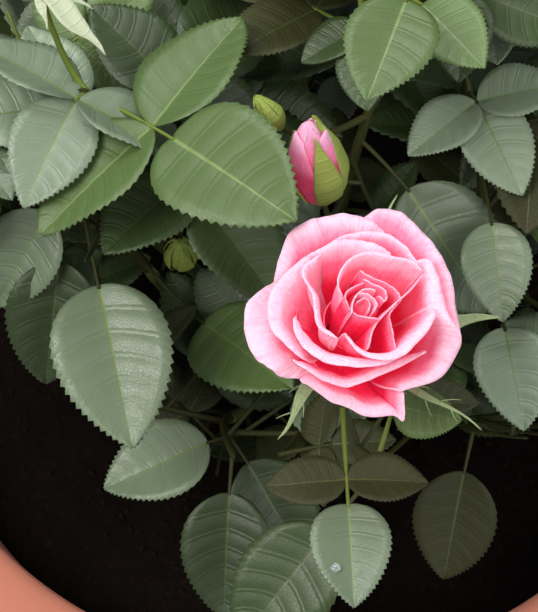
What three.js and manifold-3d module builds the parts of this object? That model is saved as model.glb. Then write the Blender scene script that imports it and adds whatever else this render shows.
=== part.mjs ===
// A patio rose bush in its terracotta pot: canes from a short woody stem, masses of leaves, an open bloom
// and buds.
// Millimetres, +Z up. The origin is the centre of the pot's flat underside, and the viewer's side is -Y.
import * as THREE from "three";
import { mergeVertices } from "three/addons/utils/BufferGeometryUtils.js";
import Module from "manifold-3d";

const wasm = await Module();
wasm.setup();

// Pot and soil
const POT_HEIGHT = 290;
const RIM_INNER_RADIUS = 145;
const RIM_OUTER_RADIUS = 169;
const COLLAR_HEIGHT = 52;
const COLLAR_STEP = 17;
const FOOT_RADIUS = 108;
const WALL = 12;
const POT_FLOOR = 15;
const EDGE_ROUND = 4;
const SOIL_LEVEL = 255;
const SOIL_EDGE_DROP = 5;
const SOIL_FLAT_RADIUS = 60;
const ROUND_SEGMENTS = 40;
const GAP = 0.3; // pieces that touch are this far apart
const FINEST = 0.02;

// Short stem and canes
const STEM_AXIS = [0, -12];
const STEM_HEIGHT = 36;
const STEM_RADIUS = 8;
const FLARE_RADIUS = 13;
const LOW_TIER = 9; // height over the soil at which the lower canes leave the stem
const MIDDLE_TIER = 18;
const HIGH_TIER = 27;
const CANE_RADIUS = 2.9;
const SHOOT_RADIUS = 2.0;
const TWIG_RADIUS = 1.25;
const STALK_RADIUS = 0.85;
const TAPER = 0.6; // a shoot, twig or stalk ends at this share of its radius

// Each cane runs from the short stem to its tip, and the main shoot of a mass of leaves runs on from there to
// its top. leaves and twigs are how many the shoot bears by the seeded rule, and reach is the radius of the
// mass's space.
const SHOOTS = {
  front: {
    tier: HIGH_TIER, tip: [20, -105, 350], top: [9.5, -99, 438],
    leaves: 3, twigs: 0, reach: 60, seed: 3,
  },
  front_left: {
    tier: LOW_TIER, tip: [-24, -60, 302], top: [-22, -88, 334],
    leaves: 5, twigs: 2, reach: 80, seed: 14,
  },
  front_right: {
    tier: LOW_TIER, tip: [42, -58, 302], top: [60, -84, 344],
    leaves: 6, twigs: 3, reach: 76, seed: 25,
  },
  left: {
    tier: LOW_TIER, tip: [-52, -18, 335], top: [-76, -24, 398],
    leaves: 6, twigs: 3, reach: 84, seed: 36,
  },
  upper_left: {
    tier: HIGH_TIER, tip: [-38, -2, 372], top: [-66, -18, 447],
    leaves: 4, twigs: 3, reach: 84, seed: 47,
  },
  centre: {
    tier: HIGH_TIER, tip: [14, -16, 374], top: [36, 8, 476],
    leaves: 5, twigs: 4, reach: 84, seed: 58,
  },
  right: {
    tier: LOW_TIER, tip: [56, -26, 338], top: [53, 2, 421],
    leaves: 6, twigs: 4, reach: 86, seed: 69,
  },
  outer_left: {
    tier: MIDDLE_TIER, tip: [-76, 22, 338], top: [-122, 28, 392],
    leaves: 8, twigs: 4, reach: 84, seed: 61,
  },
  outer_right: {
    tier: MIDDLE_TIER, tip: [84, 16, 338], top: [126, 22, 390],
    leaves: 8, twigs: 4, reach: 84, seed: 52,
  },
  back_left: {
    tier: LOW_TIER, tip: [-54, 52, 350], top: [-84, 92, 436],
    leaves: 8, twigs: 5, reach: 92, seed: 70,
  },
  back: {
    tier: HIGH_TIER, tip: [2, 56, 352], top: [-4, 92, 458],
    leaves: 8, twigs: 5, reach: 92, seed: 81,
  },
  back_right: {
    tier: LOW_TIER, tip: [56, 52, 345], top: [88, 88, 440],
    leaves: 8, twigs: 5, reach: 92, seed: 92,
  },
  outer_back: {
    tier: LOW_TIER, tip: [2, 96, 326], top: [-2, 142, 376],
    leaves: 8, twigs: 4, reach: 84, seed: 43,
  },
};
// The bloom's shoot bows out and comes back under the bloom
const FRONT_BENDS = [[25, -127, 391], [4, -96.5, 416]];

// Leaves that are set by hand: the shoot that bears each and where on it (0 to 1), the point that its end
// leaflet reaches, that leaflet's length, the pairs of side leaflets, their share of that length and their
// angle, and the arch of the stalk.
const SET_LEAVES = [
  { shoot: "upper_left", at: 0.92, tip: [-3, -76, 473], size: 55, pairs: 1, side: 0.84, spread: 98, arch: 2 },
  { shoot: "upper_left", at: 0.99, tip: [-83, -57, 447], size: 48, pairs: 1, side: 0.85, spread: 95, arch: 8 },
  { shoot: "centre", at: 0.98, tip: [18, -46, 487], size: 40, pairs: 0, side: 1, spread: 0, arch: 6 },
  { shoot: "centre", at: 0.9, tip: [52, -26, 474], size: 32, pairs: 0, side: 1, spread: 0, arch: 4 },
  { shoot: "centre", at: 0.4, tip: [62, -56, 374], size: 48, pairs: 0, side: 1, spread: 0, arch: 8 },
  { shoot: "left", at: 0.84, tip: [-53, -104, 377], size: 54, pairs: 0, side: 1, spread: 0, arch: 4 },
  { shoot: "left", at: 0.94, tip: [-83, -74, 357], size: 40, pairs: 0, side: 1, spread: 0, arch: 6 },
  { shoot: "left", at: 0.99, tip: [-99, -54, 374], size: 36, pairs: 0, side: 1, spread: 0, arch: 6 },
  { shoot: "left", at: 0.1, tip: [-3, -73, 358], size: 46, pairs: 0, side: 1, spread: 0, arch: -9 },
  { shoot: "front", at: 0.62, tip: [14, -172, 420], size: 33, pairs: 1, side: 0.72, spread: 88, arch: 0 },
  { shoot: "front", at: 0.12, tip: [-20, -156, 338], size: 46, pairs: 0, side: 1, spread: 0, arch: 2 },
  { shoot: "front_left", at: 0.7, tip: [-66, -94, 321], size: 50, pairs: 0, side: 1, spread: 0, arch: 3 },
  { shoot: "front_left", at: 0.98, tip: [-26, -137, 309], size: 42, pairs: 0, side: 1, spread: 0, arch: 4 },
  { shoot: "front_left", at: 0.5, tip: [4, -112, 292], size: 42, pairs: 0, side: 1, spread: 0, arch: 4 },
  { shoot: "front_right", at: 0.9, tip: [48, -122, 306], size: 38, pairs: 0, side: 1, spread: 0, arch: 4 },
  { shoot: "right", at: 0.98, tip: [69, -34, 413], size: 33, pairs: 1, side: 0.85, spread: 76, arch: 3 },
  { shoot: "right", at: 0.3, tip: [70, -99, 379], size: 38, pairs: 0, side: 1, spread: 0, arch: 10 },
  { shoot: "right", at: 0.75, tip: [63, -69, 395], size: 32, pairs: 0, side: 1, spread: 0, arch: 6 },
];

// Bloom and buds
const BLOOM_HEART = [18, -103, 474];
const HEART_HEIGHT = 36;
const PETAL_THICKNESS = 1.2;
const PETAL_ROWS = 3;
const PETAL_ROOT_RADIUS = 3.4;
const HIP_RADIUS = 4.6;
const VIEW_ELEVATION = 62.4; // degrees, the height of the viewer's line of sight over the level
const BUDS = [
  { shoot: "centre", at: 0.15, foot: [6, -51, 442], tip: [1, -44, 471], radius: 8.5 },
  { shoot: "centre", at: 0.5, foot: [-7, -34, 453], tip: [-14, -31, 464], radius: 4 },
  { shoot: "upper_left", at: 0.98, foot: [-77, -6, 487], tip: [-58, -25, 476], radius: 4 },
  { shoot: "upper_left", at: 0.05, foot: [-40, -20, 344], tip: [-40, -24, 364], radius: 6 },
];

// Petals from the outside in. Each point of a rim is given as the viewer sees it, in mm across and up from the
// heart of the bloom, with its height over the bloom's foot. lip is how far the petal turns out at its rim.
const PETALS = {
  upper_left: {
    lip: 9,
    rim: [[-26, 5, 22], [-25, 12, 24], [-21, 20, 26], [-12, 24, 27], [-2, 23, 26], [5, 19, 24]],
  },
  upper_right: {
    lip: 7,
    rim: [[-2, 22, 24], [4, 26, 26], [12, 23, 27], [19, 14, 27], [23, 5, 26], [25, -9, 22]],
  },
  left: {
    lip: 9,
    rim: [[-26, 5, 18], [-34, -1, 20], [-35, -8, 20], [-32, -16, 17], [-26, -22, 14], [-20, -22, 12]],
  },
  right: {
    lip: 7,
    rim: [[14, 11, 30], [19, 8, 31], [22, -5, 28], [25, -11, 24], [20, -21, 18], [9, -26, 15]],
  },
  front: {
    lip: 5,
    rim: [[-19, -23, 11], [-11, -29, 12], [0, -33, 12], [7, -32, 12], [9, -34, 11], [10, -27, 14]],
  },
  left_inner: {
    lip: 6,
    rim: [[-16, 13, 27], [-24, 6, 26], [-28, -2, 26], [-27, -9, 25], [-23, -13, 24], [-19, -17, 22]],
  },
  front_low: {
    lip: 4,
    rim: [[-21, -18, 22], [-15, -22, 21], [-7, -24, 19], [2, -22, 21], [9, -19, 23], [15, -15, 24]],
  },
  front_middle: {
    lip: 5,
    rim: [[-21, -5, 28], [-21, -10, 28], [-17, -15, 27], [-6, -19, 26], [3, -19, 26], [9, -16, 27]],
  },
  front_high: {
    lip: 4,
    rim: [[-7, -11, 30], [-2, -16, 29], [5, -17, 29], [11, -14, 30], [17, -7, 31], [17, -3, 31]],
  },
  top_outer: {
    lip: 3,
    rim: [[-14, 14, 29], [-9, 17, 30], [-2, 19, 30], [4, 18, 30], [10, 15, 31], [14, 10, 31]],
  },
  top_inner: {
    lip: 4,
    rim: [[-16, 13, 30], [-13, 15, 31], [-7, 17, 32], [-2, 16, 32], [3, 14, 31], [7, 12, 31]],
  },
  left_heart: {
    lip: 3,
    rim: [[-14, 12, 31], [-19, 8, 30], [-17, 3, 31], [-16, -3, 31], [-14, -8, 31], [-10, -11, 30]],
  },
  cup: {
    lip: 2,
    rim: [[-8, 0, 33], [-9, 6, 34], [-5, 12, 34], [1, 13, 34], [8, 11, 34], [14, 8, 34]],
  },
  cup_right: {
    lip: 1,
    rim: [[15, 7, 34], [11, 2, 35], [7, -1, 35], [3, -5, 34], [0, -9, 32], [-1, -13, 29]],
  },
  bud_outer: {
    lip: 0.5,
    rim: [[-2, 4, 36], [-5, 3, 36], [-7, 1, 36], [-6, -3, 35], [-3, -5, 35], [2, -5.5, 35]],
  },
  bud_inner: {
    lip: 0.5,
    rim: [[-3, 7, 36], [0, 6, 36], [4, 4.5, 36], [7, 2, 36], [8, 0, 35.5], [8, -2, 35]],
  },
};
const SEPAL_SLIMNESS = 0.7;
const SEPALS = [
  { angle: 8, length: 47, fall: -2 },
  { angle: -32, length: 47, fall: 4 },
  { angle: 80, length: 40, fall: -4 },
  { angle: 150, length: 34, fall: 9 },
  { angle: 235, length: 34, fall: 10 },
];

// Leaflets
const LEAFLET_THICKNESS = 1.3;
const LEAFLET_WIDTH = 0.7; // of its length
const LEAFLET_BROADEST = 0.43;
const LEAFLET_FOLD = 0.08; // rise of its sides over its midrib, of its length
const LEAFLET_SAG = 0.07; // fall of its tip
const SHORTEST_STALK = 0.14; // of the whole leaf's length
const NODE_LENGTH = 2.2; // the length of stalk that a pair of side leaflets takes
const SIDE_SHRINK = 0.12; // each pair of side leaflets is smaller than the next by this share

// Rule for the leaves
const GOLDEN_ANGLE = 137.5;
const RULE_SIZES = [36, 48];
const LEAF_LIFT = [-24, 46];
const LEAF_LEAN = 0.5;
const TWIG_LENGTHS = [34, 56];
const TWIG_LIFT = [12, 48];
const LEAVES_PER_TWIG = 4;
const TRIES = 9;
const TEST_STEP = 2.5;
const FOOT_LENGTH = 5;
const CLEARANCE = 1.2;
const CROWN_CENTRE = [0, -2, 375];
const CROWN_RADII = [186, 178, 122];
const LOWEST_LEAF = 268;
const VIEWER = [-10, -385, 1009]; // the leaves set by hand, the bloom and the buds stay open to this point
const BLOOM_SPACE = { centre: [15, -102, 463], radius: 36 };
const OPEN_SPOTS = [
  { centre: [-92, -50, 257], radius: 26 },
  { centre: [-72, -80, 257], radius: 24 },
  { centre: [-52, -106, 257], radius: 18 },
  { centre: [84, -70, 257], radius: 20 },
  { centre: [72, -112, 270], radius: 12 },
  { centre: [14, -112, 400], radius: 8 },
  { centre: [3, -47, 458], radius: 13 },
  { centre: [14, -102, 461], radius: 36 },
];

const UP = new THREE.Vector3(0, 0, 1);
const radians = THREE.MathUtils.degToRad;
const point = (values) => new THREE.Vector3(...values);
const blend = (a, b, t) => a + (b - a) * t;

// A repeatable stream of numbers from 0 to 1
function stream(seed) {
  let state = seed;
  return () => {
    state = (state + 0x6d2b79f5) | 0;
    let mixed = Math.imul(state ^ (state >>> 15), 1 | state);
    mixed = (mixed + Math.imul(mixed ^ (mixed >>> 7), 61 | mixed)) ^ mixed;
    return ((mixed ^ (mixed >>> 14)) >>> 0) / 4294967296;
  };
}

// Solids from corners and triangles, and back
function solid(corners, triangles) {
  const vertProperties = new Float32Array(corners.flatMap((corner) => corner.toArray()));
  const triVerts = new Uint32Array(triangles.flat());
  return new wasm.Manifold(new wasm.Mesh({ numProp: 3, vertProperties, triVerts }));
}

function solidOf(geometry) {
  const bare = geometry.clone();
  bare.deleteAttribute("normal");
  bare.deleteAttribute("uv");
  const merged = mergeVertices(bare, 1e-4);
  const vertProperties = new Float32Array(merged.attributes.position.array);
  const triVerts = new Uint32Array(merged.index.array);
  return new wasm.Manifold(new wasm.Mesh({ numProp: 3, vertProperties, triVerts }));
}

function geometryOf(body) {
  const mesh = body.getMesh();
  const geometry = new THREE.BufferGeometry();
  geometry.setAttribute("position", new THREE.BufferAttribute(new Float32Array(mesh.vertProperties), 3));
  geometry.setIndex(new THREE.BufferAttribute(new Uint32Array(mesh.triVerts), 1));
  geometry.computeVertexNormals();
  return geometry;
}

// The largest piece of a solid, with corners closer than FINEST joined, so that no scrap or sliver stays
function wholePiece(body) {
  return body.simplify(FINEST).decompose().sort((a, b) => b.volume() - a.volume())[0];
}

// A round limb along points, tapering from one radius to another
function limb(points, startRadius, endRadius, sides) {
  const corners = [];
  const triangles = [];
  const last = points.length - 1;
  let across = new THREE.Vector3(0.31, 0.17, 0.93);
  points.forEach((centre, ring) => {
    const ahead = points[Math.min(ring + 1, last)].clone().sub(points[Math.max(ring - 1, 0)]).normalize();
    across = across.clone().addScaledVector(ahead, -across.dot(ahead)).normalize();
    const aside = ahead.clone().cross(across);
    const radius = blend(startRadius, endRadius, ring / last);
    for (let side = 0; side < sides; side += 1) {
      const turn = (side / sides) * Math.PI * 2;
      corners.push(centre.clone()
        .addScaledVector(across, Math.cos(turn) * radius)
        .addScaledVector(aside, Math.sin(turn) * radius));
    }
  });
  for (let ring = 0; ring < last; ring += 1) {
    for (let side = 0; side < sides; side += 1) {
      const a = ring * sides + side;
      const b = ring * sides + ((side + 1) % sides);
      triangles.push([a, b, b + sides], [a, b + sides, a + sides]);
    }
  }
  for (let side = 1; side < sides - 1; side += 1) {
    triangles.push([0, side + 1, side]);
    triangles.push([last * sides, last * sides + side, last * sides + side + 1]);
  }
  return solid(corners, triangles);
}

function bezier(knots, steps) {
  const Curve = knots.length === 3 ? THREE.QuadraticBezierCurve3 : THREE.CubicBezierCurve3;
  return new Curve(...knots).getPoints(steps);
}

function alongPoints(points, share) {
  const place = Math.min(Math.max(share, 0), 0.9999) * (points.length - 1);
  const index = Math.floor(place);
  return points[index].clone().lerp(points[index + 1], place - index);
}

// A leaflet: its sides folded up, its tip falling
function leaflet(root, along, face, length) {
  const ahead = along.clone().normalize();
  const up = face.clone().addScaledVector(ahead, -face.dot(ahead)).normalize();
  const side = up.clone().cross(ahead);
  const at = (forward, sideways, rise) => root.clone()
    .addScaledVector(ahead, forward * length)
    .addScaledVector(side, sideways * length)
    .addScaledVector(up, rise * length);
  const halfWidth = LEAFLET_WIDTH / 2;
  const thick = LEAFLET_THICKNESS / 2 / length;
  return {
    root,
    length,
    left: at(LEAFLET_BROADEST, halfWidth, LEAFLET_FOLD),
    tip: at(1, 0, -LEAFLET_SAG),
    right: at(LEAFLET_BROADEST, -halfWidth, LEAFLET_FOLD),
    over: at(LEAFLET_BROADEST, 0, thick),
    under: at(LEAFLET_BROADEST, 0, -thick),
  };
}

// A whole leaf as one closed mesh: a square stalk, with a leaflet grown out of its end and out of its sides
function leafSolid(leaf) {
  const corners = [];
  const triangles = [];
  const add = (corner) => corners.push(corner) - 1;
  const rings = leaf.stalk.map(({ spot, side, up }, index) => {
    const half = blend(STALK_RADIUS, STALK_RADIUS * TAPER, index / (leaf.stalk.length - 1));
    return [[1, 1], [-1, 1], [-1, -1], [1, -1]].map(([aside, over]) =>
      add(spot.clone().addScaledVector(side, aside * half).addScaledVector(up, over * half)));
  });
  const grow = (blade, firstTop, firstUnder, secondTop, secondUnder) => {
    const edge = [blade.right, blade.tip, blade.left, blade.over, blade.under];
    const [right, tip, left, over, under] = edge.map(add);
    triangles.push(
      [over, firstTop, right],
      [over, right, tip],
      [over, tip, left],
      [over, left, secondTop],
      [over, secondTop, firstTop],
      [under, right, firstUnder],
      [under, tip, right],
      [under, left, tip],
      [under, secondUnder, left],
      [under, firstUnder, secondUnder],
      [right, firstTop, firstUnder],
      [secondTop, left, secondUnder],
    );
  };
  const [foot] = rings;
  const end = rings[rings.length - 1];
  triangles.push([foot[0], foot[3], foot[2]], [foot[0], foot[2], foot[1]]);
  for (let ring = 1; ring < rings.length; ring += 1) {
    const [back, front] = [rings[ring - 1], rings[ring]];
    const pair = leaf.pairs.find((row) => row.ring === ring);
    for (let side = 0; side < 4; side += 1) {
      const next = (side + 1) % 4;
      if (pair && side === 1) grow(pair.right, back[1], back[2], front[1], front[2]);
      else if (pair && side === 3) grow(pair.left, front[0], front[3], back[0], back[3]);
      else triangles.push([back[side], back[next], front[next]], [back[side], front[next], front[side]]);
    }
  }
  grow(leaf.end, end[1], end[2], end[0], end[3]);
  return solid(corners, triangles);
}

// What the tests for room see of a leaflet or a stalk: dots with a radius, and flat sheets
function dotsAlong(points, radius) {
  const dots = [];
  for (let index = 1; index < points.length; index += 1) {
    const start = points[index - 1];
    const steps = Math.max(1, Math.ceil(start.distanceTo(points[index]) / TEST_STEP));
    for (let step = 0; step <= steps; step += 1) {
      dots.push({ spot: start.clone().lerp(points[index], step / steps), radius });
    }
  }
  return dots;
}

function shape(dots, sheets) {
  const box = new THREE.Box3().setFromPoints(dots.map((dot) => dot.spot));
  return { dots, sheets, box: box.expandByScalar(CLEARANCE + CANE_RADIUS) };
}

function leafletShape(leaf) {
  const middle = leaf.over.clone().lerp(leaf.under, 0.5);
  const edge = [leaf.root, leaf.left, leaf.tip, leaf.right];
  const sheets = edge.map((corner, index) => new THREE.Triangle(corner, edge[(index + 1) % 4], middle));
  return shape(dotsAlong([...edge, leaf.root, middle, leaf.tip], LEAFLET_THICKNESS / 2), sheets);
}

const stalkShape = (points, radius) => shape(dotsAlong(points, radius), []);

// The same points without the first stretch, which stands in the limb that bears them
function pastFoot(points) {
  const [foot, next] = points;
  const start = foot.clone().lerp(next, Math.min(0.9, FOOT_LENGTH / foot.distanceTo(next)));
  return [start, ...points.slice(1)];
}

function dotsMeetSheets(dots, sheets) {
  const nearest = new THREE.Vector3();
  return dots.some((dot) => sheets.some((sheet) => {
    sheet.closestPointToPoint(dot.spot, nearest);
    return nearest.distanceTo(dot.spot) < dot.radius + LEAFLET_THICKNESS / 2 + CLEARANCE;
  }));
}

function meets(a, b) {
  if (!a.box.intersectsBox(b.box)) return false;
  if (dotsMeetSheets(a.dots, b.sheets) || dotsMeetSheets(b.dots, a.sheets)) return true;
  if (a.sheets.length || b.sheets.length) return false;
  return a.dots.some((dot) => b.dots.some((other) =>
    dot.spot.distanceTo(other.spot) < dot.radius + other.radius + CLEARANCE));
}

// A whole leaf: a stalk from its foot, an end leaflet and pairs of side leaflets
function wholeLeaf(foot, tip, { size, pairs: pairCount, side, spread, arch }, face) {
  const middle = foot.clone().lerp(tip, 0.5).add(point([0, 0, arch * 2]));
  const curve = new THREE.QuadraticBezierCurve3(foot, middle, tip);
  const baseShare = Math.max(SHORTEST_STALK, 1 - size / curve.getLength());
  const station = (share) => {
    const ahead = curve.getTangent(share);
    const up = face.clone().addScaledVector(ahead, -face.dot(ahead)).normalize();
    return { spot: curve.getPoint(share), side: up.clone().cross(ahead), up, ahead };
  };
  const stalk = [station(0)];
  const pairs = [];
  for (let pair = pairCount; pair > 0; pair -= 1) {
    const share = baseShare * (1 - 0.27 * pair);
    const width = NODE_LENGTH / curve.getLength();
    const back = station(share);
    const front = station(share + width);
    const root = back.spot.clone().lerp(front.spot, 0.5);
    const reach = size * (side - SIDE_SHRINK * (pair - 1));
    const [left, right] = [1, -1].map((hand) =>
      leaflet(root, back.ahead.clone().applyAxisAngle(back.up, radians(hand * spread)), back.up, reach));
    stalk.push(back, front);
    pairs.push({ ring: stalk.length - 1, left, right });
  }
  stalk.push(station(baseShare));
  const root = curve.getPoint(baseShare);
  const end = leaflet(root, tip.clone().sub(root), face, root.distanceTo(tip));
  const leaflets = [end, ...pairs.flatMap((pair) => [pair.left, pair.right])];
  const line = stalk.map((place) => place.spot);
  const shapes = [stalkShape(pastFoot(line), STALK_RADIUS), ...leaflets.map(leafletShape)];
  return { stalk, pairs, end, leaflets, shapes };
}

// Sight lines that stay open: a leaf made by the rule may not cover these spots from the viewer's place
function covers(spot, open) {
  const viewer = point(VIEWER);
  const share = viewer.distanceTo(spot) / viewer.distanceTo(open.centre);
  if (share >= 0.995) return false;
  return viewer.clone().lerp(open.centre, share).distanceTo(spot) < open.radius * share;
}

function inCrown(spot) {
  const centre = point(CROWN_CENTRE);
  const away = spot.clone().sub(centre).divide(point(CROWN_RADII));
  return away.length() < 1 && spot.z > LOWEST_LEAF;
}

// Growing every mass together, so that each keeps clear of the others
function growMasses(limbShapes) {
  const masses = {};
  const openSpots = OPEN_SPOTS.map((spot) => ({ centre: point(spot.centre), radius: spot.radius }));
  for (const [name, plan] of Object.entries(SHOOTS)) {
    const points = shootPoints(name, plan);
    const solids = [limb(points, SHOOT_RADIUS, SHOOT_RADIUS * TAPER, 4)];
    masses[name] = { name, plan, points, solids, leaves: [], stalks: [stalkShape(points, SHOOT_RADIUS)] };
  }

  const roomFor = (mass, shapes) => {
    for (const other of Object.values(masses)) {
      const own = other === mass;
      for (const candidate of shapes) {
        const isStalk = candidate.sheets.length === 0;
        if (other.leaves.some((taken) => meets(candidate, taken))) return false;
        if (own && isStalk) continue;
        if (other.stalks.some((taken) => meets(candidate, taken))) return false;
      }
    }
    return !shapes.some((candidate) => limbShapes.some((taken) => meets(candidate, taken)));
  };

  const keep = (mass, leaf) => {
    mass.solids.push(leafSolid(leaf));
    mass.stalks.push(leaf.shapes[0]);
    mass.leaves.push(...leaf.shapes.slice(1));
  };

  for (const bud of BUDS) {
    const mass = masses[bud.shoot];
    const foot = alongPoints(mass.points, bud.at);
    const top = point(bud.foot);
    const stalk = bezier([foot, foot.clone().lerp(top, 0.7).setZ(foot.z + 6), top], 5);
    mass.solids.push(limb(stalk, TWIG_RADIUS, TWIG_RADIUS * TAPER, 3), budSolid(bud));
    mass.stalks.push(stalkShape(stalk, TWIG_RADIUS), stalkShape([top, point(bud.tip)], bud.radius));
  }

  for (const row of SET_LEAVES) {
    const mass = masses[row.shoot];
    const foot = alongPoints(mass.points, row.at);
    const tip = point(row.tip);
    const face = point(VIEWER).sub(tip).normalize().lerp(UP, 0.6).normalize();
    const leaf = wholeLeaf(foot, tip, row, face);
    keep(mass, leaf);
    for (const blade of leaf.leaflets) {
      for (const share of [0.25, 0.55, 0.85]) {
        openSpots.push({ centre: blade.root.clone().lerp(blade.tip, share), radius: row.size * 0.3 });
      }
    }
  }

  const allowed = (mass, leaf) => {
    const centre = mass.points[0].clone().lerp(mass.points[mass.points.length - 1], 0.6);
    return leaf.shapes.every((part) => part.dots.every((dot) =>
      inCrown(dot.spot)
      && dot.spot.distanceTo(centre) < mass.plan.reach
      && dot.spot.distanceTo(point(BLOOM_SPACE.centre)) > BLOOM_SPACE.radius
      && !openSpots.some((open) => covers(dot.spot, open))));
  };

  const growLeaf = (mass, bearer, share, turn, draw) => {
    for (let attempt = 0; attempt < TRIES; attempt += 1) {
      const [a, b, c, d, e] = [draw(), draw(), draw(), draw(), draw()];
      const azimuth = radians(turn + (a - 0.5) * 100);
      const size = blend(...RULE_SIZES, b);
      const pairs = c < 0.3 ? 2 : 1;
      const lift = radians(blend(...LEAF_LIFT, d * 0.65 + share * 0.35));
      const foot = alongPoints(bearer, share);
      const reach = size * (1.5 + 0.3 * pairs);
      const tip = foot.clone().add(point([
        Math.cos(azimuth) * Math.cos(lift) * reach,
        Math.sin(azimuth) * Math.cos(lift) * reach,
        Math.sin(lift) * reach,
      ]));
      const plan = { size, pairs, side: 0.88, spread: blend(68, 88, a), arch: size * 0.1 };
      const lean = radians(turn + e * 360);
      const face = point([Math.cos(lean) * LEAF_LEAN, Math.sin(lean) * LEAF_LEAN, 1]).normalize();
      const leaf = wholeLeaf(foot, tip, plan, face);
      if (allowed(mass, leaf) && roomFor(mass, leaf.shapes)) {
        keep(mass, leaf);
        return;
      }
    }
  };

  for (const mass of Object.values(masses)) {
    const draw = stream(mass.plan.seed);
    const outward = Math.atan2(mass.plan.top[1] - STEM_AXIS[1], mass.plan.top[0]) * (180 / Math.PI);
    const bearers = [];
    for (let count = 0; count < mass.plan.twigs; count += 1) {
      const share = blend(0.1, 0.75, (count + 0.5) / mass.plan.twigs);
      const spread = blend(-75, 75, count / Math.max(1, mass.plan.twigs - 1));
      for (let attempt = 0; attempt < TRIES; attempt += 1) {
        const [a, b, c] = [draw(), draw(), draw()];
        const azimuth = radians(outward + spread + (a - 0.5) * 50);
        const lift = radians(blend(...TWIG_LIFT, b));
        const length = blend(...TWIG_LENGTHS, c);
        const foot = alongPoints(mass.points, share);
        const flat = length * Math.cos(lift);
        const way = point([Math.cos(azimuth) * flat, Math.sin(azimuth) * flat, length * Math.sin(lift)]);
        const top = foot.clone().add(way);
        const bend = foot.clone().lerp(top, 0.6).add(point([0, 0, -length * 0.08]));
        const points = bezier([foot, bend, top], 3);
        const twig = { shapes: [stalkShape(pastFoot(points), TWIG_RADIUS)] };
        if (allowed(mass, twig) && roomFor(mass, twig.shapes)) {
          bearers.push({ points, turn: outward + spread });
          mass.solids.push(limb(points, TWIG_RADIUS, TWIG_RADIUS * TAPER, 3));
          mass.stalks.push(twig.shapes[0]);
          break;
        }
      }
    }
    for (const bearer of bearers) {
      for (let count = 0; count < LEAVES_PER_TWIG; count += 1) {
        growLeaf(mass, bearer.points, 0.97 - 0.26 * count, bearer.turn + count * GOLDEN_ANGLE, draw);
      }
    }
    for (let count = 0; count < mass.plan.leaves; count += 1) {
      const share = 0.98 - 0.9 * (count / mass.plan.leaves);
      growLeaf(mass, mass.points, share, outward + count * GOLDEN_ANGLE, draw);
    }
  }
  return masses;
}

// Canes: each leaves the short stem, bends outwards and rises to its tip
function caneKnots(plan) {
  const foot = point([...STEM_AXIS, SOIL_LEVEL + plan.tier]);
  const tip = point(plan.tip);
  const bend = foot.clone().lerp(tip, 0.72).setZ(blend(foot.z, tip.z, 0.3));
  return [foot, bend, tip];
}

function shootPoints(name, plan) {
  const [, bend, tip] = caneKnots(plan);
  const ahead = tip.clone().sub(bend).normalize();
  const start = tip.clone().addScaledVector(ahead, GAP);
  const top = point(plan.top);
  if (name === "front") return bezier([start, ...FRONT_BENDS.map(point), top], 8);
  const reach = start.distanceTo(top);
  return bezier([start, start.clone().addScaledVector(ahead, reach * 0.4), top], 5);
}

function canePoints(plan) {
  return bezier(caneKnots(plan), 7);
}

// Lathe solids
function lathe(profile, segments) {
  const outline = profile.map(([radius, height]) => new THREE.Vector2(radius, height));
  return solidOf(new THREE.LatheGeometry(outline, segments).rotateX(Math.PI / 2));
}

function innerRadius(height) {
  const footInner = FOOT_RADIUS - WALL;
  return blend(footInner, RIM_INNER_RADIUS, (height - POT_FLOOR) / (POT_HEIGHT - EDGE_ROUND - POT_FLOOR));
}

function potSolid() {
  const collarFoot = POT_HEIGHT - COLLAR_HEIGHT;
  const neck = innerRadius(collarFoot) + WALL;
  return lathe([
    [0, 0],
    [FOOT_RADIUS - EDGE_ROUND, 0],
    [FOOT_RADIUS, EDGE_ROUND],
    [neck, collarFoot],
    [neck + COLLAR_STEP - EDGE_ROUND, collarFoot],
    [neck + COLLAR_STEP, collarFoot + EDGE_ROUND],
    [RIM_OUTER_RADIUS, POT_HEIGHT - EDGE_ROUND * 2],
    [RIM_OUTER_RADIUS - EDGE_ROUND * 0.7, POT_HEIGHT - EDGE_ROUND * 0.6],
    [RIM_OUTER_RADIUS - EDGE_ROUND * 2, POT_HEIGHT],
    [RIM_INNER_RADIUS + EDGE_ROUND, POT_HEIGHT],
    [RIM_INNER_RADIUS, POT_HEIGHT - EDGE_ROUND],
    [innerRadius(POT_FLOOR), POT_FLOOR],
    [0, POT_FLOOR],
  ], ROUND_SEGMENTS);
}

function soilSolid() {
  const edgeLevel = SOIL_LEVEL - SOIL_EDGE_DROP;
  const bottom = POT_FLOOR + GAP;
  return lathe([
    [0, bottom],
    [innerRadius(bottom) - GAP, bottom],
    [innerRadius(edgeLevel) - GAP, edgeLevel],
    [SOIL_FLAT_RADIUS, SOIL_LEVEL],
    [0, SOIL_LEVEL],
  ], ROUND_SEGMENTS);
}

function stemProfile(extra) {
  return [
    [0, -extra],
    [FLARE_RADIUS + extra, -extra],
    [FLARE_RADIUS * 0.78 + extra, STEM_HEIGHT * 0.12],
    [STEM_RADIUS * 1.08 + extra, STEM_HEIGHT * 0.35],
    [STEM_RADIUS + extra, STEM_HEIGHT * 0.75],
    [STEM_RADIUS * 0.7 + extra, STEM_HEIGHT * 0.95 + extra],
    [0, STEM_HEIGHT + extra],
  ];
}

function stemSolid(extra) {
  return lathe(stemProfile(extra), 12).translate(...STEM_AXIS, SOIL_LEVEL + GAP);
}

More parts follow.
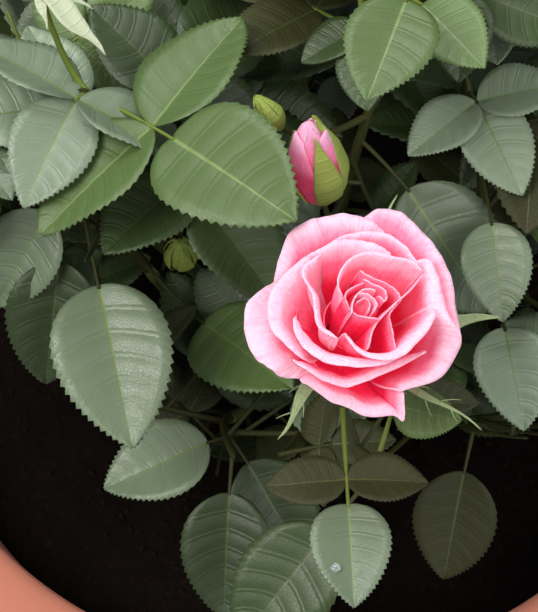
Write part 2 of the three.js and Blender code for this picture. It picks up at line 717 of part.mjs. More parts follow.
// Bud: a closed spindle of six sides on its stalk
function budSolid(bud) {
  const foot = point(bud.foot);
  const tip = point(bud.tip);
  const ahead = tip.clone().sub(foot);
  const stations = [[-0.05, 0.3], [0.12, 0.75], [0.35, 1], [0.65, 0.72], [0.88, 0.35], [1, 0.08]];
  const corners = [];
  const triangles = [];
  const across = new THREE.Vector3(1, 0, 0).addScaledVector(ahead, -ahead.x / ahead.lengthSq()).normalize();
  const aside = ahead.clone().normalize().cross(across);
  const sides = 6;
  for (const [share, wide] of stations) {
    for (let side = 0; side < sides; side += 1) {
      const turn = (side / sides) * Math.PI * 2;
      corners.push(foot.clone().addScaledVector(ahead, share)
        .addScaledVector(across, Math.cos(turn) * wide * bud.radius)
        .addScaledVector(aside, Math.sin(turn) * wide * bud.radius));
    }
  }
  const last = stations.length - 1;
  for (let ring = 0; ring < last; ring += 1) {
    for (let side = 0; side < sides; side += 1) {
      const a = ring * sides + side;
      const b = ring * sides + ((side + 1) % sides);
      triangles.push([a, b, b + sides], [a, b + sides, a + sides]);
    }
  }
  for (let side = 1; side < sides - 1; side += 1) {
    triangles.push([0, side + 1, side]);
    triangles.push([last * sides, last * sides + side, last * sides + side + 1]);
  }
  return solid(corners, triangles);
}

// The bloom's own frame: ahead points from its foot to its heart
function bloomFrame() {
  const shootTop = point(SHOOTS.front.top);
  const ahead = point(BLOOM_HEART).sub(shootTop).normalize();
  const foot = shootTop.addScaledVector(ahead, GAP);
  const across = new THREE.Vector3(1, 0, 0).addScaledVector(ahead, -ahead.x).normalize();
  return { foot, ahead, across, away: ahead.clone().cross(across) };
}

// A rim point as seen by the viewer becomes an angle, a radius and a height about the bloom's axis
function rimStation(frame, [acrossView, upView, height]) {
  const level = height - HEART_HEIGHT;
  const elevation = radians(VIEW_ELEVATION);
  const depth = (upView - Math.cos(elevation) * level) / Math.sin(elevation);
  const place = point(BLOOM_HEART).add(point([acrossView, depth, level])).sub(frame.foot);
  const x = place.dot(frame.across);
  const y = place.dot(frame.away);
  return { angle: Math.atan2(y, x), radius: Math.hypot(x, y), height: place.dot(frame.ahead) };
}

function petalProfile(station, lip) {
  const root = new THREE.Vector2(PETAL_ROOT_RADIUS, 5);
  const rim = new THREE.Vector2(station.radius, station.height);
  const throat = Math.max(station.radius - lip * 1.5, station.radius * 0.35);
  const belly = new THREE.Vector2(blend(station.radius, throat, 0.45), blend(root.y, rim.y, 0.3));
  const bend = new THREE.Vector2(throat, rim.y + lip * 0.12);
  return new THREE.CubicBezierCurve(root, belly, bend, rim);
}

function petalSolid(frame, { lip, rim }) {
  const stations = rim.map((spot) => rimStation(frame, spot));
  const rows = PETAL_ROWS;
  const sheets = [[], []];
  stations.forEach((station) => {
    const profile = petalProfile(station, lip);
    for (let row = 0; row <= rows; row += 1) {
      const spot = profile.getPoint(row / rows);
      const ahead = profile.getTangent(row / rows);
      [1, -1].forEach((face, index) => {
        const radius = spot.x - ahead.y * face * PETAL_THICKNESS / 2;
        const height = spot.y + ahead.x * face * PETAL_THICKNESS / 2;
        sheets[index].push(frame.foot.clone()
          .addScaledVector(frame.across, Math.cos(station.angle) * radius)
          .addScaledVector(frame.away, Math.sin(station.angle) * radius)
          .addScaledVector(frame.ahead, height));
      });
    }
  });
  const columns = stations.length - 1;
  const stride = rows + 1;
  const offset = sheets[0].length;
  const triangles = [];
  for (let column = 0; column < columns; column += 1) {
    for (let row = 0; row < rows; row += 1) {
      const a = column * stride + row;
      triangles.push([a, a + 1, a + stride + 1], [a, a + stride + 1, a + stride]);
      triangles.push([a + offset, a + offset + stride + 1, a + offset + 1]);
      triangles.push([a + offset, a + offset + stride, a + offset + stride + 1]);
    }
  }
  const band = (a, b) => triangles.push([a, a + offset, b + offset], [a, b + offset, b]);
  for (let row = 0; row < rows; row += 1) {
    band(row, row + 1);
    band(columns * stride + row + 1, columns * stride + row);
  }
  for (let column = 0; column < columns; column += 1) {
    band((column + 1) * stride, column * stride);
    band(column * stride + rows, (column + 1) * stride + rows);
  }
  const corners = [...sheets[0], ...sheets[1]];
  const body = solid(corners, triangles);
  return body.volume() > 0 ? body : solid(corners, triangles.map(([a, b, c]) => [a, c, b]));
}

function bloomSolid() {
  const frame = bloomFrame();
  const hip = [[0, 0.6], [3, 1], [8, 1.15], [22, 1], [33, 0.7]];
  const corePoints = hip.map(([height]) => frame.foot.clone().addScaledVector(frame.ahead, height));
  const core = hip.slice(1).map(([, radius], index) => limb(
    [corePoints[index], corePoints[index + 1].clone().addScaledVector(frame.ahead, 0.05)],
    hip[index][1] * HIP_RADIUS,
    radius * HIP_RADIUS,
    8,
  ));
  const sepals = SEPALS.map(({ angle, length, fall }) => {
    const turn = radians(angle);
    const along = point([Math.cos(turn), Math.sin(turn), 0]).multiplyScalar(length).add(point([0, 0, -fall]));
    const root = frame.foot.clone().addScaledVector(frame.ahead, 4);
    return sepalSolid(root, along, length);
  });
  const petals = Object.values(PETALS).map((petal) => petalSolid(frame, petal));
  return wholePiece(wasm.Manifold.union([...core, ...petals, ...sepals]));
}

// A sepal: a slim blade of eight faces
function sepalSolid(root, along, length) {
  const blade = leaflet(root, along, UP, length);
  const middle = blade.over.clone().lerp(blade.under, 0.5);
  const left = blade.left.lerp(middle, SEPAL_SLIMNESS);
  const right = blade.right.lerp(middle, SEPAL_SLIMNESS);
  const corners = [blade.root, left, blade.tip, right, blade.over, blade.under];
  const triangles = [];
  for (let edge = 0; edge < 4; edge += 1) {
    const next = (edge + 1) % 4;
    triangles.push([next, edge, 4], [edge, next, 5]);
  }
  return solid(corners, triangles);
}

function paint(colour, roughness) {
  return new THREE.MeshStandardMaterial({ color: colour, roughness, metalness: 0 });
}

const TERRACOTTA = paint(0xc9816a, 0.85);
const SOIL = paint(0x1a1210, 0.97);
const BARK = paint(0x6b5a3a, 0.8);
const GREEN_CANE = paint(0x6f8a3e, 0.6);
const LEAF_GREEN = paint(0x6f8a55, 0.5);
const PETAL_PINK = paint(0xff8fb4, 0.55);

const bush = new THREE.Group();
bush.name = "rose_bush";

function addPiece(name, body, material) {
  const mesh = new THREE.Mesh(geometryOf(body), material);
  mesh.name = name;
  bush.add(mesh);
}

addPiece("pot", potSolid(), TERRACOTTA);
addPiece("soil", soilSolid(), SOIL);
addPiece("short_stem", stemSolid(0), BARK);

const clearStem = stemSolid(GAP);
const limbShapes = [];
for (const [name, plan] of Object.entries(SHOOTS)) {
  const points = canePoints(plan);
  const cane = limb(points, CANE_RADIUS, SHOOT_RADIUS, 6).subtract(clearStem);
  addPiece(`cane_${name}`, wholePiece(cane), GREEN_CANE);
  limbShapes.push(stalkShape(points, CANE_RADIUS));
}

for (const mass of Object.values(growMasses(limbShapes))) {
  addPiece(`leaves_${mass.name}`, wholePiece(wasm.Manifold.union(mass.solids)), LEAF_GREEN);
}
addPiece("bloom", bloomSolid(), PETAL_PINK);

export default bush;
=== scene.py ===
# A patio rose bush in its terracotta pot: canes from a short woody stem, sprays of compound leaves, buds
# and an open double bloom, seen from above. The frame is in metres, the plant is worked out in millimetres.
import math

import bpy
import numpy as np
from bpy.props import FloatProperty, FloatVectorProperty, IntProperty, PointerProperty
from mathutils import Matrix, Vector


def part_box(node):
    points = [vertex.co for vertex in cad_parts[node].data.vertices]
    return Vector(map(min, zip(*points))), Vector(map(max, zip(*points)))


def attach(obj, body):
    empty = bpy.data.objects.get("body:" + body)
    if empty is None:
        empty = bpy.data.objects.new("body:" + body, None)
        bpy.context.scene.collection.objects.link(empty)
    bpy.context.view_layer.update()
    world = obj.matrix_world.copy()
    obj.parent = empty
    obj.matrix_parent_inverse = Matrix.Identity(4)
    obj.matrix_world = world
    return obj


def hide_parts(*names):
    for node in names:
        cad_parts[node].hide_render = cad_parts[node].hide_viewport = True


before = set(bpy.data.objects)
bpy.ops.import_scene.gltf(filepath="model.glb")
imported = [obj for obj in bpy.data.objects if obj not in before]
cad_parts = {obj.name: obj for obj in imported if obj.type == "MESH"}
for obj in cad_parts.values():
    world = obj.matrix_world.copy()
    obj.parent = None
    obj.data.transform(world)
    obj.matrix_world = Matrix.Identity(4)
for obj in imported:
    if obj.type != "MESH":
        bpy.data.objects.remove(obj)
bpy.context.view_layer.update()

bl_info = {
    "name": "Potted rose bush",
    "version": (1, 0, 0),
    "blender": (4, 5, 0),
    "location": "View3D > Sidebar > Rose bush",
    "description": "Builds a rose bush with its bloom, buds and leaves in a terracotta pot",
    "category": "Add Mesh",
}

MM = 0.001
UP = np.array([0.0, 0.0, 1.0])

# The photo's camera: its place in mm, its angle over the level, and its lens and sensor in mm
VIEWER = np.array([-10.0, -385.0, 1009.0])
VIEW_ELEVATION = math.radians(62.4)
LENS = 130.0
SENSOR = 36.0

# Pot and soil, in mm
RIM_OUTER_RADIUS, _, POT_HEIGHT = np.array(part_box("pot")[1]) / MM
SOIL_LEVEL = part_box("soil")[1][2] / MM
RIM_INNER_RADIUS = 145.0
COLLAR_HEIGHT = 52.0
COLLAR_STEP = 17.0
FOOT_RADIUS = 108.0
WALL = 12.0
POT_FLOOR = 15.0
RIM_ROUND = 8.0
# Rounded edges as steps out and up: from the foot's radius, and from the neck at the collar's lower edge
FOOT_EDGE = ((-5, 0), (-1.5, 1), (0, 4))
COLLAR_EDGE = ((0, -1.5), (1.5, 0), (COLLAR_STEP - 4, 0), (COLLAR_STEP - 1, 1.2), (COLLAR_STEP, 4))
POT_SIDES, SOIL_SIDES = 160, 150
SOIL_CROWN = 5.0  # how much higher the soil lies round the stem than at the wall

# Short stem and canes
STEM_AXIS = np.array([0.0, -12.0])
STEM_HEIGHT = 36.0
STEM_RADIUS = 8.0
STEM_SHOULDER, STEM_TOP_RADIUS = 0.55, STEM_RADIUS * 0.62
FLARE_RADIUS, FLARE_FALL = 13.0, 7
LOW_TIER, MIDDLE_TIER, HIGH_TIER = 9.0, 18.0, 27.0
CANE_RADIUS = 2.9
CANE_BEND_OUT, CANE_BEND_UP = 0.72, 0.3  # where a cane bends, in shares of its reach and of its rise
SHOOT_RADIUS = 2.0
TWIG_RADIUS = 1.25
STALK_RADIUS = 0.85
TAPER = 0.6
GAP = 0.3
STEM_SIDES, CANE_SIDES, TWIG_SIDES = 40, 14, 7
CANE_STEPS, STEPS_IN_STEM = 44, 4
NODES_PER_CANE = 3
CANE_SEED = 50  # added to a mass's own

# Crumbs and prickles: the least and the greatest size in metres, and the seed of their scatter
CRUMB_SIZES, CRUMB_SEED = (0.0009, 0.0042), 5
PRICKLE_SIZES, PRICKLE_SEED = (0.0012, 0.0024), 11

# Each cane runs from its tier on the short stem to its tip, and the shoot of a mass of leaves runs on from
# there to its top. The numbers are the leaves and twigs that a shoot bears, the mass's reach and its seed.
SHOOTS = {
    name: dict(tier=tier, tip=tip, top=top, leaves=leaves, twigs=twigs, reach=reach, seed=seed)
    for name, tier, tip, top, leaves, twigs, reach, seed in (
        ("front", HIGH_TIER, (20, -105, 350), (9.5, -99, 438), 3, 0, 60, 3),
        ("front_left", LOW_TIER, (-24, -60, 302), (-22, -88, 334), 5, 2, 80, 14),
        ("front_right", LOW_TIER, (42, -58, 302), (60, -84, 344), 6, 3, 76, 25),
        ("left", LOW_TIER, (-52, -18, 335), (-76, -24, 398), 6, 3, 84, 36),
        ("upper_left", HIGH_TIER, (-38, -2, 372), (-66, -18, 447), 4, 3, 84, 47),
        ("centre", HIGH_TIER, (14, -16, 374), (36, 8, 476), 5, 4, 84, 58),
        ("right", LOW_TIER, (56, -26, 338), (53, 2, 421), 6, 4, 86, 69),
        ("outer_left", MIDDLE_TIER, (-76, 22, 338), (-122, 28, 392), 8, 4, 84, 61),
        ("outer_right", MIDDLE_TIER, (84, 16, 338), (126, 22, 390), 8, 4, 84, 52),
        ("back_left", LOW_TIER, (-54, 52, 350), (-84, 92, 436), 8, 5, 92, 70),
        ("back", HIGH_TIER, (2, 56, 352), (-4, 92, 458), 8, 5, 92, 81),
        ("back_right", LOW_TIER, (56, 52, 345), (88, 88, 440), 8, 5, 92, 92),
        ("outer_back", LOW_TIER, (2, 96, 326), (-2, 142, 376), 8, 4, 84, 43),
    )
}
FRONT_BENDS = [(25, -127, 391), (4, -96.5, 416)]


def set_leaf(shoot, at, tip, size, arch, tone, pairs=0, side=1, spread=0, **more):
    """A leaf set one by one: the shoot that bears it and where, the point that its end leaflet reaches and
    that leaflet's length, its stalk's arch and its tone. Its side leaflets follow as the number of pairs,
    the share of that length and their angle."""
    return dict(shoot=shoot, at=at, tip=tip, size=size, arch=arch, tone=tone, pairs=pairs, side=side,
                spread=spread, **more)


# Dark tones on low leaves are painted shade, the lightest grey green on leaves with the sky's light on them
# is a painted reflection, and grey is partly painted sheen
SET_LEAVES = [
    set_leaf("upper_left", 0.92, (-3, -76, 473), 55, 2, "mid", 1, 0.84, 98),
    set_leaf("upper_left", 0.99, (-83, -57, 447), 48, 8, "silver", 1, 0.85, 95),
    set_leaf("centre", 0.98, (18, -46, 487), 40, 6, "mid"),
    set_leaf("centre", 0.9, (52, -26, 474), 32, 4, "mid"),
    set_leaf("centre", 0.4, (62, -56, 374), 48, 8, "grey"),
    set_leaf("left", 0.84, (-53, -104, 377), 54, 4, "grey"),
    set_leaf("left", 0.94, (-83, -74, 357), 40, 6, "dark"),
    set_leaf("left", 0.99, (-99, -54, 374), 36, 6, "grey"),
    set_leaf("left", 0.1, (-3, -73, 358), 46, -9, "mid"),
    # This leaf's side leaflets take the olive tone as painted shade under the bloom
    set_leaf("front", 0.62, (14, -172, 420), 33, 0, "grey", 1, 0.72, 88,
             side_tone="olive", drop=(0.6, -0.55)),
    set_leaf("front", 0.12, (-20, -156, 338), 46, 2, "dark"),
    set_leaf("front_left", 0.7, (-66, -94, 321), 50, 3, "grey"),
    set_leaf("front_left", 0.98, (-26, -137, 309), 42, 4, "dark"),
    set_leaf("front_left", 0.5, (4, -112, 292), 42, 4, "dark"),
    set_leaf("front_right", 0.9, (48, -122, 306), 38, 4, "olive"),
    set_leaf("right", 0.98, (69, -34, 413), 33, 3, "silver", 1, 0.85, 76),
    set_leaf("right", 0.3, (70, -99, 379), 38, 10, "silver"),
    set_leaf("right", 0.75, (63, -69, 395), 32, 6, "grey"),
]

FACE_UP = 0.6  # how far a leaf set one by one faces up instead of to the viewer
OPEN_SHARES, OPEN_RADIUS = (0.25, 0.55, 0.85), 0.3  # sight lines kept free to each of its leaflets

# Bloom and buds
BLOOM_HEART = np.array([18.0, -103.0, 474.0])
HEART_HEIGHT = 36.0
PETAL_THICKNESS = 0.4
PETAL_ROOT_RADIUS = 3.4
HIP_RADIUS = 4.6
# Three buds, and a young leaf that is still folded: the pale one, which isn't said to be open or closed
BUDS = {
    "pink": dict(shoot="centre", at=0.15, foot=(6, -51, 442), tip=(1, -44, 471), radius=8.5, closed=False),
    "green": dict(shoot="centre", at=0.5, foot=(-7, -34, 453), tip=(-14, -31, 464), radius=4, closed=True),
    "pale": dict(shoot="upper_left", at=0.98, foot=(-77, -6, 487), tip=(-58, -25, 476), radius=4),
    "blush": dict(shoot="upper_left", at=0.05, foot=(-40, -20, 344), tip=(-40, -24, 364), radius=6,
                  closed=True),
}

# Petals from the outside in. Each point of a rim is as the viewer sees it, in mm across and up from the
# heart of the bloom, with its height over the bloom's foot. lip is how far the petal turns out at its rim,
# and pale is the share of its height where it turns pale; a low share, as on the petal at the heart's left,
# paints light onto a face that lies in shade.
PETALS = {
    "upper_left": dict(lip=9, pale=0.8, rim=[
        (-26.2, 5.5, 22), (-25.4, 10.6, 24), (-22.6, 18.2, 26), (-16.3, 22.6, 27), (-9.1, 23.9, 27),
        (-1.4, 22.8, 26), (4.8, 19.7, 24)]),
    "upper_right": dict(lip=7, pale=0.84, rim=[
        (-1.4, 22.8, 24), (2.9, 25.1, 26), (8.2, 25, 27), (13.4, 21.4, 27), (19.2, 13.9, 27),
        (22.6, 7.2, 26), (24, 0, 25), (25.3, -9, 22)]),
    "left": dict(lip=9, pale=0.52, rim=[
        (-26.2, 5.3, 18), (-30.2, 2.4, 19), (-34, -1.4, 20), (-34.8, -7.2, 20), (-33, -14.9, 18),
        (-29.3, -18.7, 16), (-25.4, -21.8, 14), (-20.6, -22.3, 12)]),
    "right": dict(lip=7, pale=0.7, rim=[
        (13.9, 10.6, 30), (17.8, 10.1, 31), (20.2, 2.4, 30), (22.1, -5.3, 28), (25.3, -11, 24),
        (24, -15.8, 20), (19.2, -22.1, 17), (8.6, -25.9, 15)]),
    "front": dict(lip=5, pale=0.7, rim=[
        (-19, -23, 11), (-16.8, -24.5, 11), (-10.6, -28.8, 12), (-5.8, -30.5, 12), (0, -32.9, 12),
        (7, -32.6, 12), (9, -34.3, 11), (9.8, -32.6, 12), (9.6, -27, 14)]),
    "left_inner": dict(lip=6, pale=0.44, rim=[
        (-16, 13, 27), (-19.7, 10.6, 27), (-24.5, 5.8, 26), (-27.6, 1, 26), (-28.4, -3.8, 26),
        (-27.1, -8.6, 25), (-23.5, -13, 24), (-19.2, -16.8, 22)]),
    "front_low": dict(lip=4, pale=0.74, rim=[
        (-20.9, -17.8, 22), (-16.8, -20.4, 21), (-12, -22.8, 20), (-6.7, -24.5, 19), (-1.9, -23.3, 20),
        (2.4, -21.4, 21), (8.6, -18.7, 23), (14.9, -15.1, 24)]),
    "front_middle": dict(lip=5, pale=0.66, rim=[
        (-21.4, -5.8, 28), (-21.1, -9.6, 28), (-18.2, -13.9, 27), (-13, -17, 27), (-6.2, -18.7, 26),
        (1.9, -18.7, 26), (8.2, -16.1, 27)]),
    "front_high": dict(lip=4, pale=0.68, rim=[
        (-6.7, -10.6, 30), (-4.3, -13.9, 30), (0, -16.3, 29), (4.8, -17, 29), (9.1, -15.6, 30),
        (12.5, -12.2, 31), (15.8, -8.6, 31), (17.8, -4.8, 31), (16.8, -3.1, 31)]),
    "top_outer": dict(lip=3, pale=0.78, rim=[
        (-13.9, 13.7, 29), (-9.1, 16.8, 30), (-3.8, 18.6, 30), (1, 19.1, 30), (5.8, 17.8, 30),
        (9.8, 14.9, 31), (13.4, 10.6, 31)]),
    "top_inner": dict(lip=4, pale=0.6, rim=[
        (-15.8, 12.7, 30), (-13, 14.4, 31), (-8.6, 16.3, 32), (-4.3, 16.8, 32), (0, 15.8, 32),
        (4.8, 13.4, 31), (6.2, 12, 31)]),
    "left_heart": dict(lip=3.4, pale=0.14, rim=[
        (-14.5, 12, 31), (-18.7, 8.6, 30), (-18.2, 5.3, 31), (-16.3, 1.9, 31), (-15.8, -2.4, 31),
        (-14.6, -7.7, 31), (-10.1, -10.8, 30)]),
    "cup": dict(lip=2, pale=0.62, rim=[
        (-7.8, 0.5, 33), (-9.1, 4.3, 34), (-8.4, 7.7, 34), (-6, 10.8, 34), (-2.4, 12.7, 34),
        (1.4, 13.2, 34), (5.8, 11.8, 34), (11, 10.6, 34), (14.2, 8.2, 34)]),
    "cup_right": dict(lip=1, pale=0.9, rim=[
        (14.6, 6.7, 34), (11, 2.4, 35), (7.2, -1, 35), (3.4, -4.8, 34), (0.5, -8.6, 32),
        (-0.7, -13.2, 29)]),
    "second_fold": dict(lip=0.8, pale=0.92, rim=[
        (7.2, -1, 34.5), (5.3, -4.3, 33.5), (5.8, -8.6, 31), (6.7, -13.4, 29)]),
    "bud_outer": dict(lip=0.5, pale=0.93, rim=[
        (-2.2, 4.3, 36), (-5.3, 2.9, 36), (-7.2, 1, 36), (-6.7, -1.4, 35.5), (-5.5, -3.4, 35),
        (-3.4, -4.8, 35), (1.9, -5.5, 35)]),
    "bud_inner": dict(lip=0.5, pale=0.9, rim=[
        (-2.6, 7.7, 36), (0, 6, 36), (4.3, 4.3, 36), (6.7, 2.4, 36), (8.2, 0, 35.5)]),
    "curl": dict(lip=0.3, pale=0.88, rim=[
        (-1.7, 5.3, 37), (1, 3.8, 37), (3.6, 2.6, 37), (4.3, 0.5, 37), (3.4, -0.7, 37), (2.2, 0.7, 37)]),
    "core": dict(lip=0.3, pale=0.8, rim=[
        (-5.3, -3.4, 36), (-5, -0.5, 36), (-2.4, 2.4, 36), (1, 2.4, 36)]),
    "fold": dict(lip=0.6, pale=0.72, rim=[
        (-3.4, 1.6, 36), (-1.8, 1.4, 36.8), (0.4, 0.2, 37.2), (1.6, -1.6, 36.8), (0.8, -3.2, 36)]),
    "inner_fold": dict(lip=0.3, pale=0.9, rim=[
        (-3.6, -0.8, 35.6), (-1.8, 0, 36.2), (-0.4, -1.4, 36.2), (-0.8, -3.4, 35.4)]),
}

# What the petals stand on, with heights over the bloom's foot
BOWLS = ((15.5, 13.5), (8.5, 18.0))  # radius and height
# The bowls never turn pale: their deep pink, seen in the gaps between the petals, is painted shade
BOWL_PALE = 1.15
HEART_LEVELS = (20, 25, 29, 31, 32.4, 33.2, 33.6)
HEART_RADII = (2.6, 3.4, 4.2, 4.4, 3.6, 2.0, 0.4)
HIP_LEVELS, HIP_SHARES = (0, 3, 8, 14, 24), (0.45, 0.95, 1.15, 1.0, 0.6)
BELLY_HEIGHT = 5.0
HEART_SIDES, HIP_SIDES, BUD_SIDES, BUD_HIP_SIDES = 28, 20, 20, 16
PETAL_STEPS, PETAL_ROWS, END_COLUMNS = 52, 24, 6
BLOOM_SEED = 77
SEPALS = [
    dict(angle=8, length=47, fall=-2, slim=4.6, threads=0),
    dict(angle=-32, length=48, fall=4, slim=1.3, threads=5),
    dict(angle=69, length=45, fall=-20, slim=1.8, threads=2),
    dict(angle=150, length=34, fall=9, slim=2.6, threads=2),
    dict(angle=235, length=34, fall=10, slim=2.2, threads=3),
]
SEPAL_THICKNESS = 0.4
THREAD_LENGTHS, THREAD_RADII, THREAD_SIDES = (3.0, 5.5), (0.28, 0.1), 5
SEPAL_SHARES = (0, 0.2, 0.45, 0.62, 0.78, 0.9, 1)
SEPAL_WIDTHS = (0.75, 0.9, 1, 0.8, 0.35, 0.22, 0.06)

# Buds: their body's radius along it, where their sepals stand round it and how far the sepals reach
BUD_BEND_OUT, BUD_BEND_RISE = 0.7, 6.0  # where a bud's stalk bends: a share of its reach, and mm of rise
BUD_SEED = 400
BUD_PETALS = 5
BUD_THICKNESS = 0.35
BUD_LEVELS = (0, 0.12, 0.35, 0.65, 0.88, 0.96, 1)
BUD_RADII = (0.45, 0.75, 0.96, 0.74, 0.40, 0.22, 0.04)
BUD_HIP_LEVELS, BUD_HIP_RADII = (-0.1, -0.04, 0.05, 0.2), (0.24, 0.46, 0.66, 0.72)
BUD_SEPAL_ANGLES = (-6, -68, 58, 132, 205)
OPEN_REACHES, CLOSED_REACHES = (1.04, 0.92, 1.0, 0.72, 0.6), (1.03,) * 5
YOUNG_LEAFLETS = ((1.0, 3.6, 0), (0.62, 2.0, 24), (0.5, 1.8, -30))  # share of the length, half width, angle

# Leaflets: in mm, in shares of their length, and in shares of the stalk's length
LEAFLET_THICKNESS, NODE_LENGTH = 1.3, 2.2
LEAFLET_WIDTH, LEAFLET_BROADEST, LEAFLET_FOLD, LEAFLET_SAG = 0.7, 0.43, 0.08, 0.07
SIDE_SHRINK = 0.12
SHORTEST_STALK, PAIR_SPACING = 0.14, 0.27

# Rule for the leaves
GOLDEN_ANGLE = 137.5
RULE_SIZES = (36, 48)
LEAF_LIFT, LEAF_TURN, LEAF_LEAN = (-24, 46), 100, 0.5
LEAF_ARCH = 0.1
TWO_PAIRS = 0.3  # share of the leaves that have two pairs of side leaflets
LEAF_REACH, REACH_PER_PAIR = 1.5, 0.3
SIDE_SIZE, SIDE_SPREAD = 0.88, (68, 88)
TWIG_LENGTHS = (34, 56)
TWIG_LIFT, TWIG_TURN, TWIG_DROOP = (12, 48), 50, 0.08
TWIG_SHARES = (0.1, 0.75)
TWIG_FAN = (-75, 75)
LEAVES_PER_TWIG = 4
# Where the first leaf stands on a limb, and the step down to the next; on a shoot, the stretch they share
ON_TWIG, ON_SHOOT, ON_FINE_TWIG = (0.97, 0.26), (0.98, 0.9), (0.98, 0.3)
TRIES = 9
TEST_STEP = 2.5
FOOT_LENGTH = 5
NEAR_ENOUGH = 12
CLEARANCE = 1.2
CROWN_CENTRE = np.array([0.0, -2.0, 375.0])
CROWN_RADII = np.array([186.0, 178.0, 122.0])
LOWEST_LEAF = 268
BLOOM_SPACE = (np.array([15.0, -102.0, 463.0]), 36.0)
OPEN_SPOTS = [
    ((-92, -50, 257), 26), ((-72, -80, 257), 24), ((-52, -106, 257), 18), ((84, -70, 257), 20),
    ((72, -112, 270), 12), ((14, -112, 400), 8), ((3, -47, 458), 13), ((14, -102, 461), 36),
]

# Finer growth between the leaves of the rule: twigs, their small leaves, and a smaller leaf at a limb's end
FINE_SEED = 1000  # added to a mass's own
FINE_TWIG_SHARES = (0.15, 0.95)
FINE_SIZES = (22, 38)
FINE_TWIG_LENGTHS = (20, 44)
FINE_TWIG_RADIUS = TWIG_RADIUS * 0.7
FINE_CLEARANCE = 0.3
TIP_SIZES = (11, 19)
TIP_TRIES = 24
CANE_SHARES = (0.5, 1.0)

# How often each tone falls on a leaf near the top of the crown, and on one deep in its shade, where the
# dark and olive tones are painted shade
# Near the top, the lightest grey green tone is the sky's light painted on the leaf as a reflection, and the
# grey tone is partly painted sheen
SUNNY_TONES = dict(mid=0.32, pale=0.18, grey=0.24, dark=0.18, bronze=0.02, silver=0.06)
SHADY_TONES = dict(mid=0.10, grey=0.06, dark=0.60, olive=0.24)
SHADE_DEPTH = 58
PLAIN_SHADE, LIGHT_SHADE = 0.86, 1.12
# The deep rib of the dark and olive leaves is partly painted shade; on the bronze leaves it is their own
# colour
RIBS = dict(mid="pale", pale="pale", grey="pale", silver="pale", bronze="deep", dark="deep", olive="deep")

# Sight lines kept free of the finer growth alone
FINE_OPEN_SPOTS = [((-40, -22, 358), 10), ((26, -68, 462), 6)]


# Numbers, points and curves

def stream(seed):
    """A repeatable stream of numbers from 0 to 1."""
    word = 0xFFFFFFFF
    state = seed

    def draw():
        nonlocal state
        state = (state + 0x6D2B79F5) & word
        mixed = ((state ^ (state >> 15)) * (1 | state)) & word
        mixed = ((mixed + (((mixed ^ (mixed >> 7)) * (61 | mixed)) & word)) & word) ^ mixed
        return (mixed ^ (mixed >> 14)) / 4294967296

    return draw


def blend(a, b, t):
    return a + (b - a) * t


def unit(way):
    return way / np.linalg.norm(way)


def across_way(way, ahead):
    """The part of a direction that is square to another, as a unit."""
    return unit(way - ahead * np.dot(way, ahead))


def on_curve(knots, t):
    """Points of the Bezier curve through knots, for one share or an array of them."""
    t = np.atleast_1d(np.asarray(t, float))[:, None]
    points = [np.broadcast_to(np.asarray(knot, float), (len(t), 3)) for knot in knots]
    while len(points) > 1:
        points = [blend(a, b, t) for a, b in zip(points, points[1:])]
    return points[0]


def bezier(knots, steps):
    return on_curve(knots, np.linspace(0, 1, steps + 1))


def along_points(points, share):
    place = min(max(share, 0), 0.9999) * (len(points) - 1)
    index = int(place)
    return blend(points[index], points[index + 1], place - index)


def smooth_line(points, steps):
    """A smooth line through points, with evenly shared steps."""
    points = np.asarray(points, float)
    padded = np.vstack([2 * points[0] - points[1], points, 2 * points[-1] - points[-2]])
    place = np.linspace(0, len(points) - 1, steps + 1)
    index = np.minimum(place.astype(int), len(points) - 2)
    t = (place - index)[:, None]
    a, b, c, d = (padded[index + shift] for shift in range(4))
    square, cube = 2 * a - 5 * b + 4 * c - d, 3 * b - a - 3 * c + d
    return 0.5 * (2 * b + (c - a) * t + square * t ** 2 + cube * t ** 3)


def wave(place):
    return np.sin(2 * math.pi * place)


def placed(root, *moves):
    """Points in a line or a grid, reached from a root by amounts along several directions."""
    for way, amount in moves:
        root = root + way * amount[..., None]
    return root


def marks_over(grid, *parts):
    """Three numbers for each point of a grid."""
    return np.stack([np.broadcast_to(part, grid.shape[:2]) for part in parts], axis=2)


# Meshes

class Sheaf:
    """Gathers the parts of one joined piece, in mm: its points, three marks a point, its faces and the
    number of each face's material."""

    def __init__(self):
        self.points, self.marks, self.faces, self.tones = [], [], [], []
        self.count = 0

    def add(self, points, faces, marks, tone=0):
        self.points.append(np.asarray(points, float))
        self.marks.append(np.broadcast_to(np.asarray(marks, float), (len(points), 3)))
        self.faces.extend([[corner + self.count for corner in face] for face in faces])
        self.tones.extend(tone if isinstance(tone, list) else [tone] * len(faces))
        self.count += len(points)

    def piece(self, name, materials, mark=None):
        """The joined piece as an object, with its marks as an attribute where its materials read them."""
        mesh = bpy.data.meshes.new(name)
        mesh.from_pydata((np.vstack(self.points) * MM).tolist(), [], self.faces)
        for material in materials:
            mesh.materials.append(material)
        mesh.polygons.foreach_set("material_index", self.tones)
        mesh.polygons.foreach_set("use_smooth", [True] * len(self.faces))
        if mark:
            layer = mesh.attributes.new(mark, "FLOAT_VECTOR", "POINT")
            layer.data.foreach_set("vector", np.vstack(self.marks).astype(np.float32).ravel())
        mesh.validate()
        return linked(name, mesh)


def linked(name, mesh):
    piece = bpy.data.objects.new(name, mesh)
    bpy.context.scene.collection.objects.link(piece)
    return piece


def grid_faces(rows, columns, start=0, flip=False):
    """Quads over a grid of points, row by row."""
    faces = []
    for row in range(rows - 1):
        for column in range(columns - 1):
            a = start + row * columns + column
            face = [a, a + 1, a + columns + 1, a + columns]
            faces.append(face[::-1] if flip else face)
    return faces


SLABS = {}


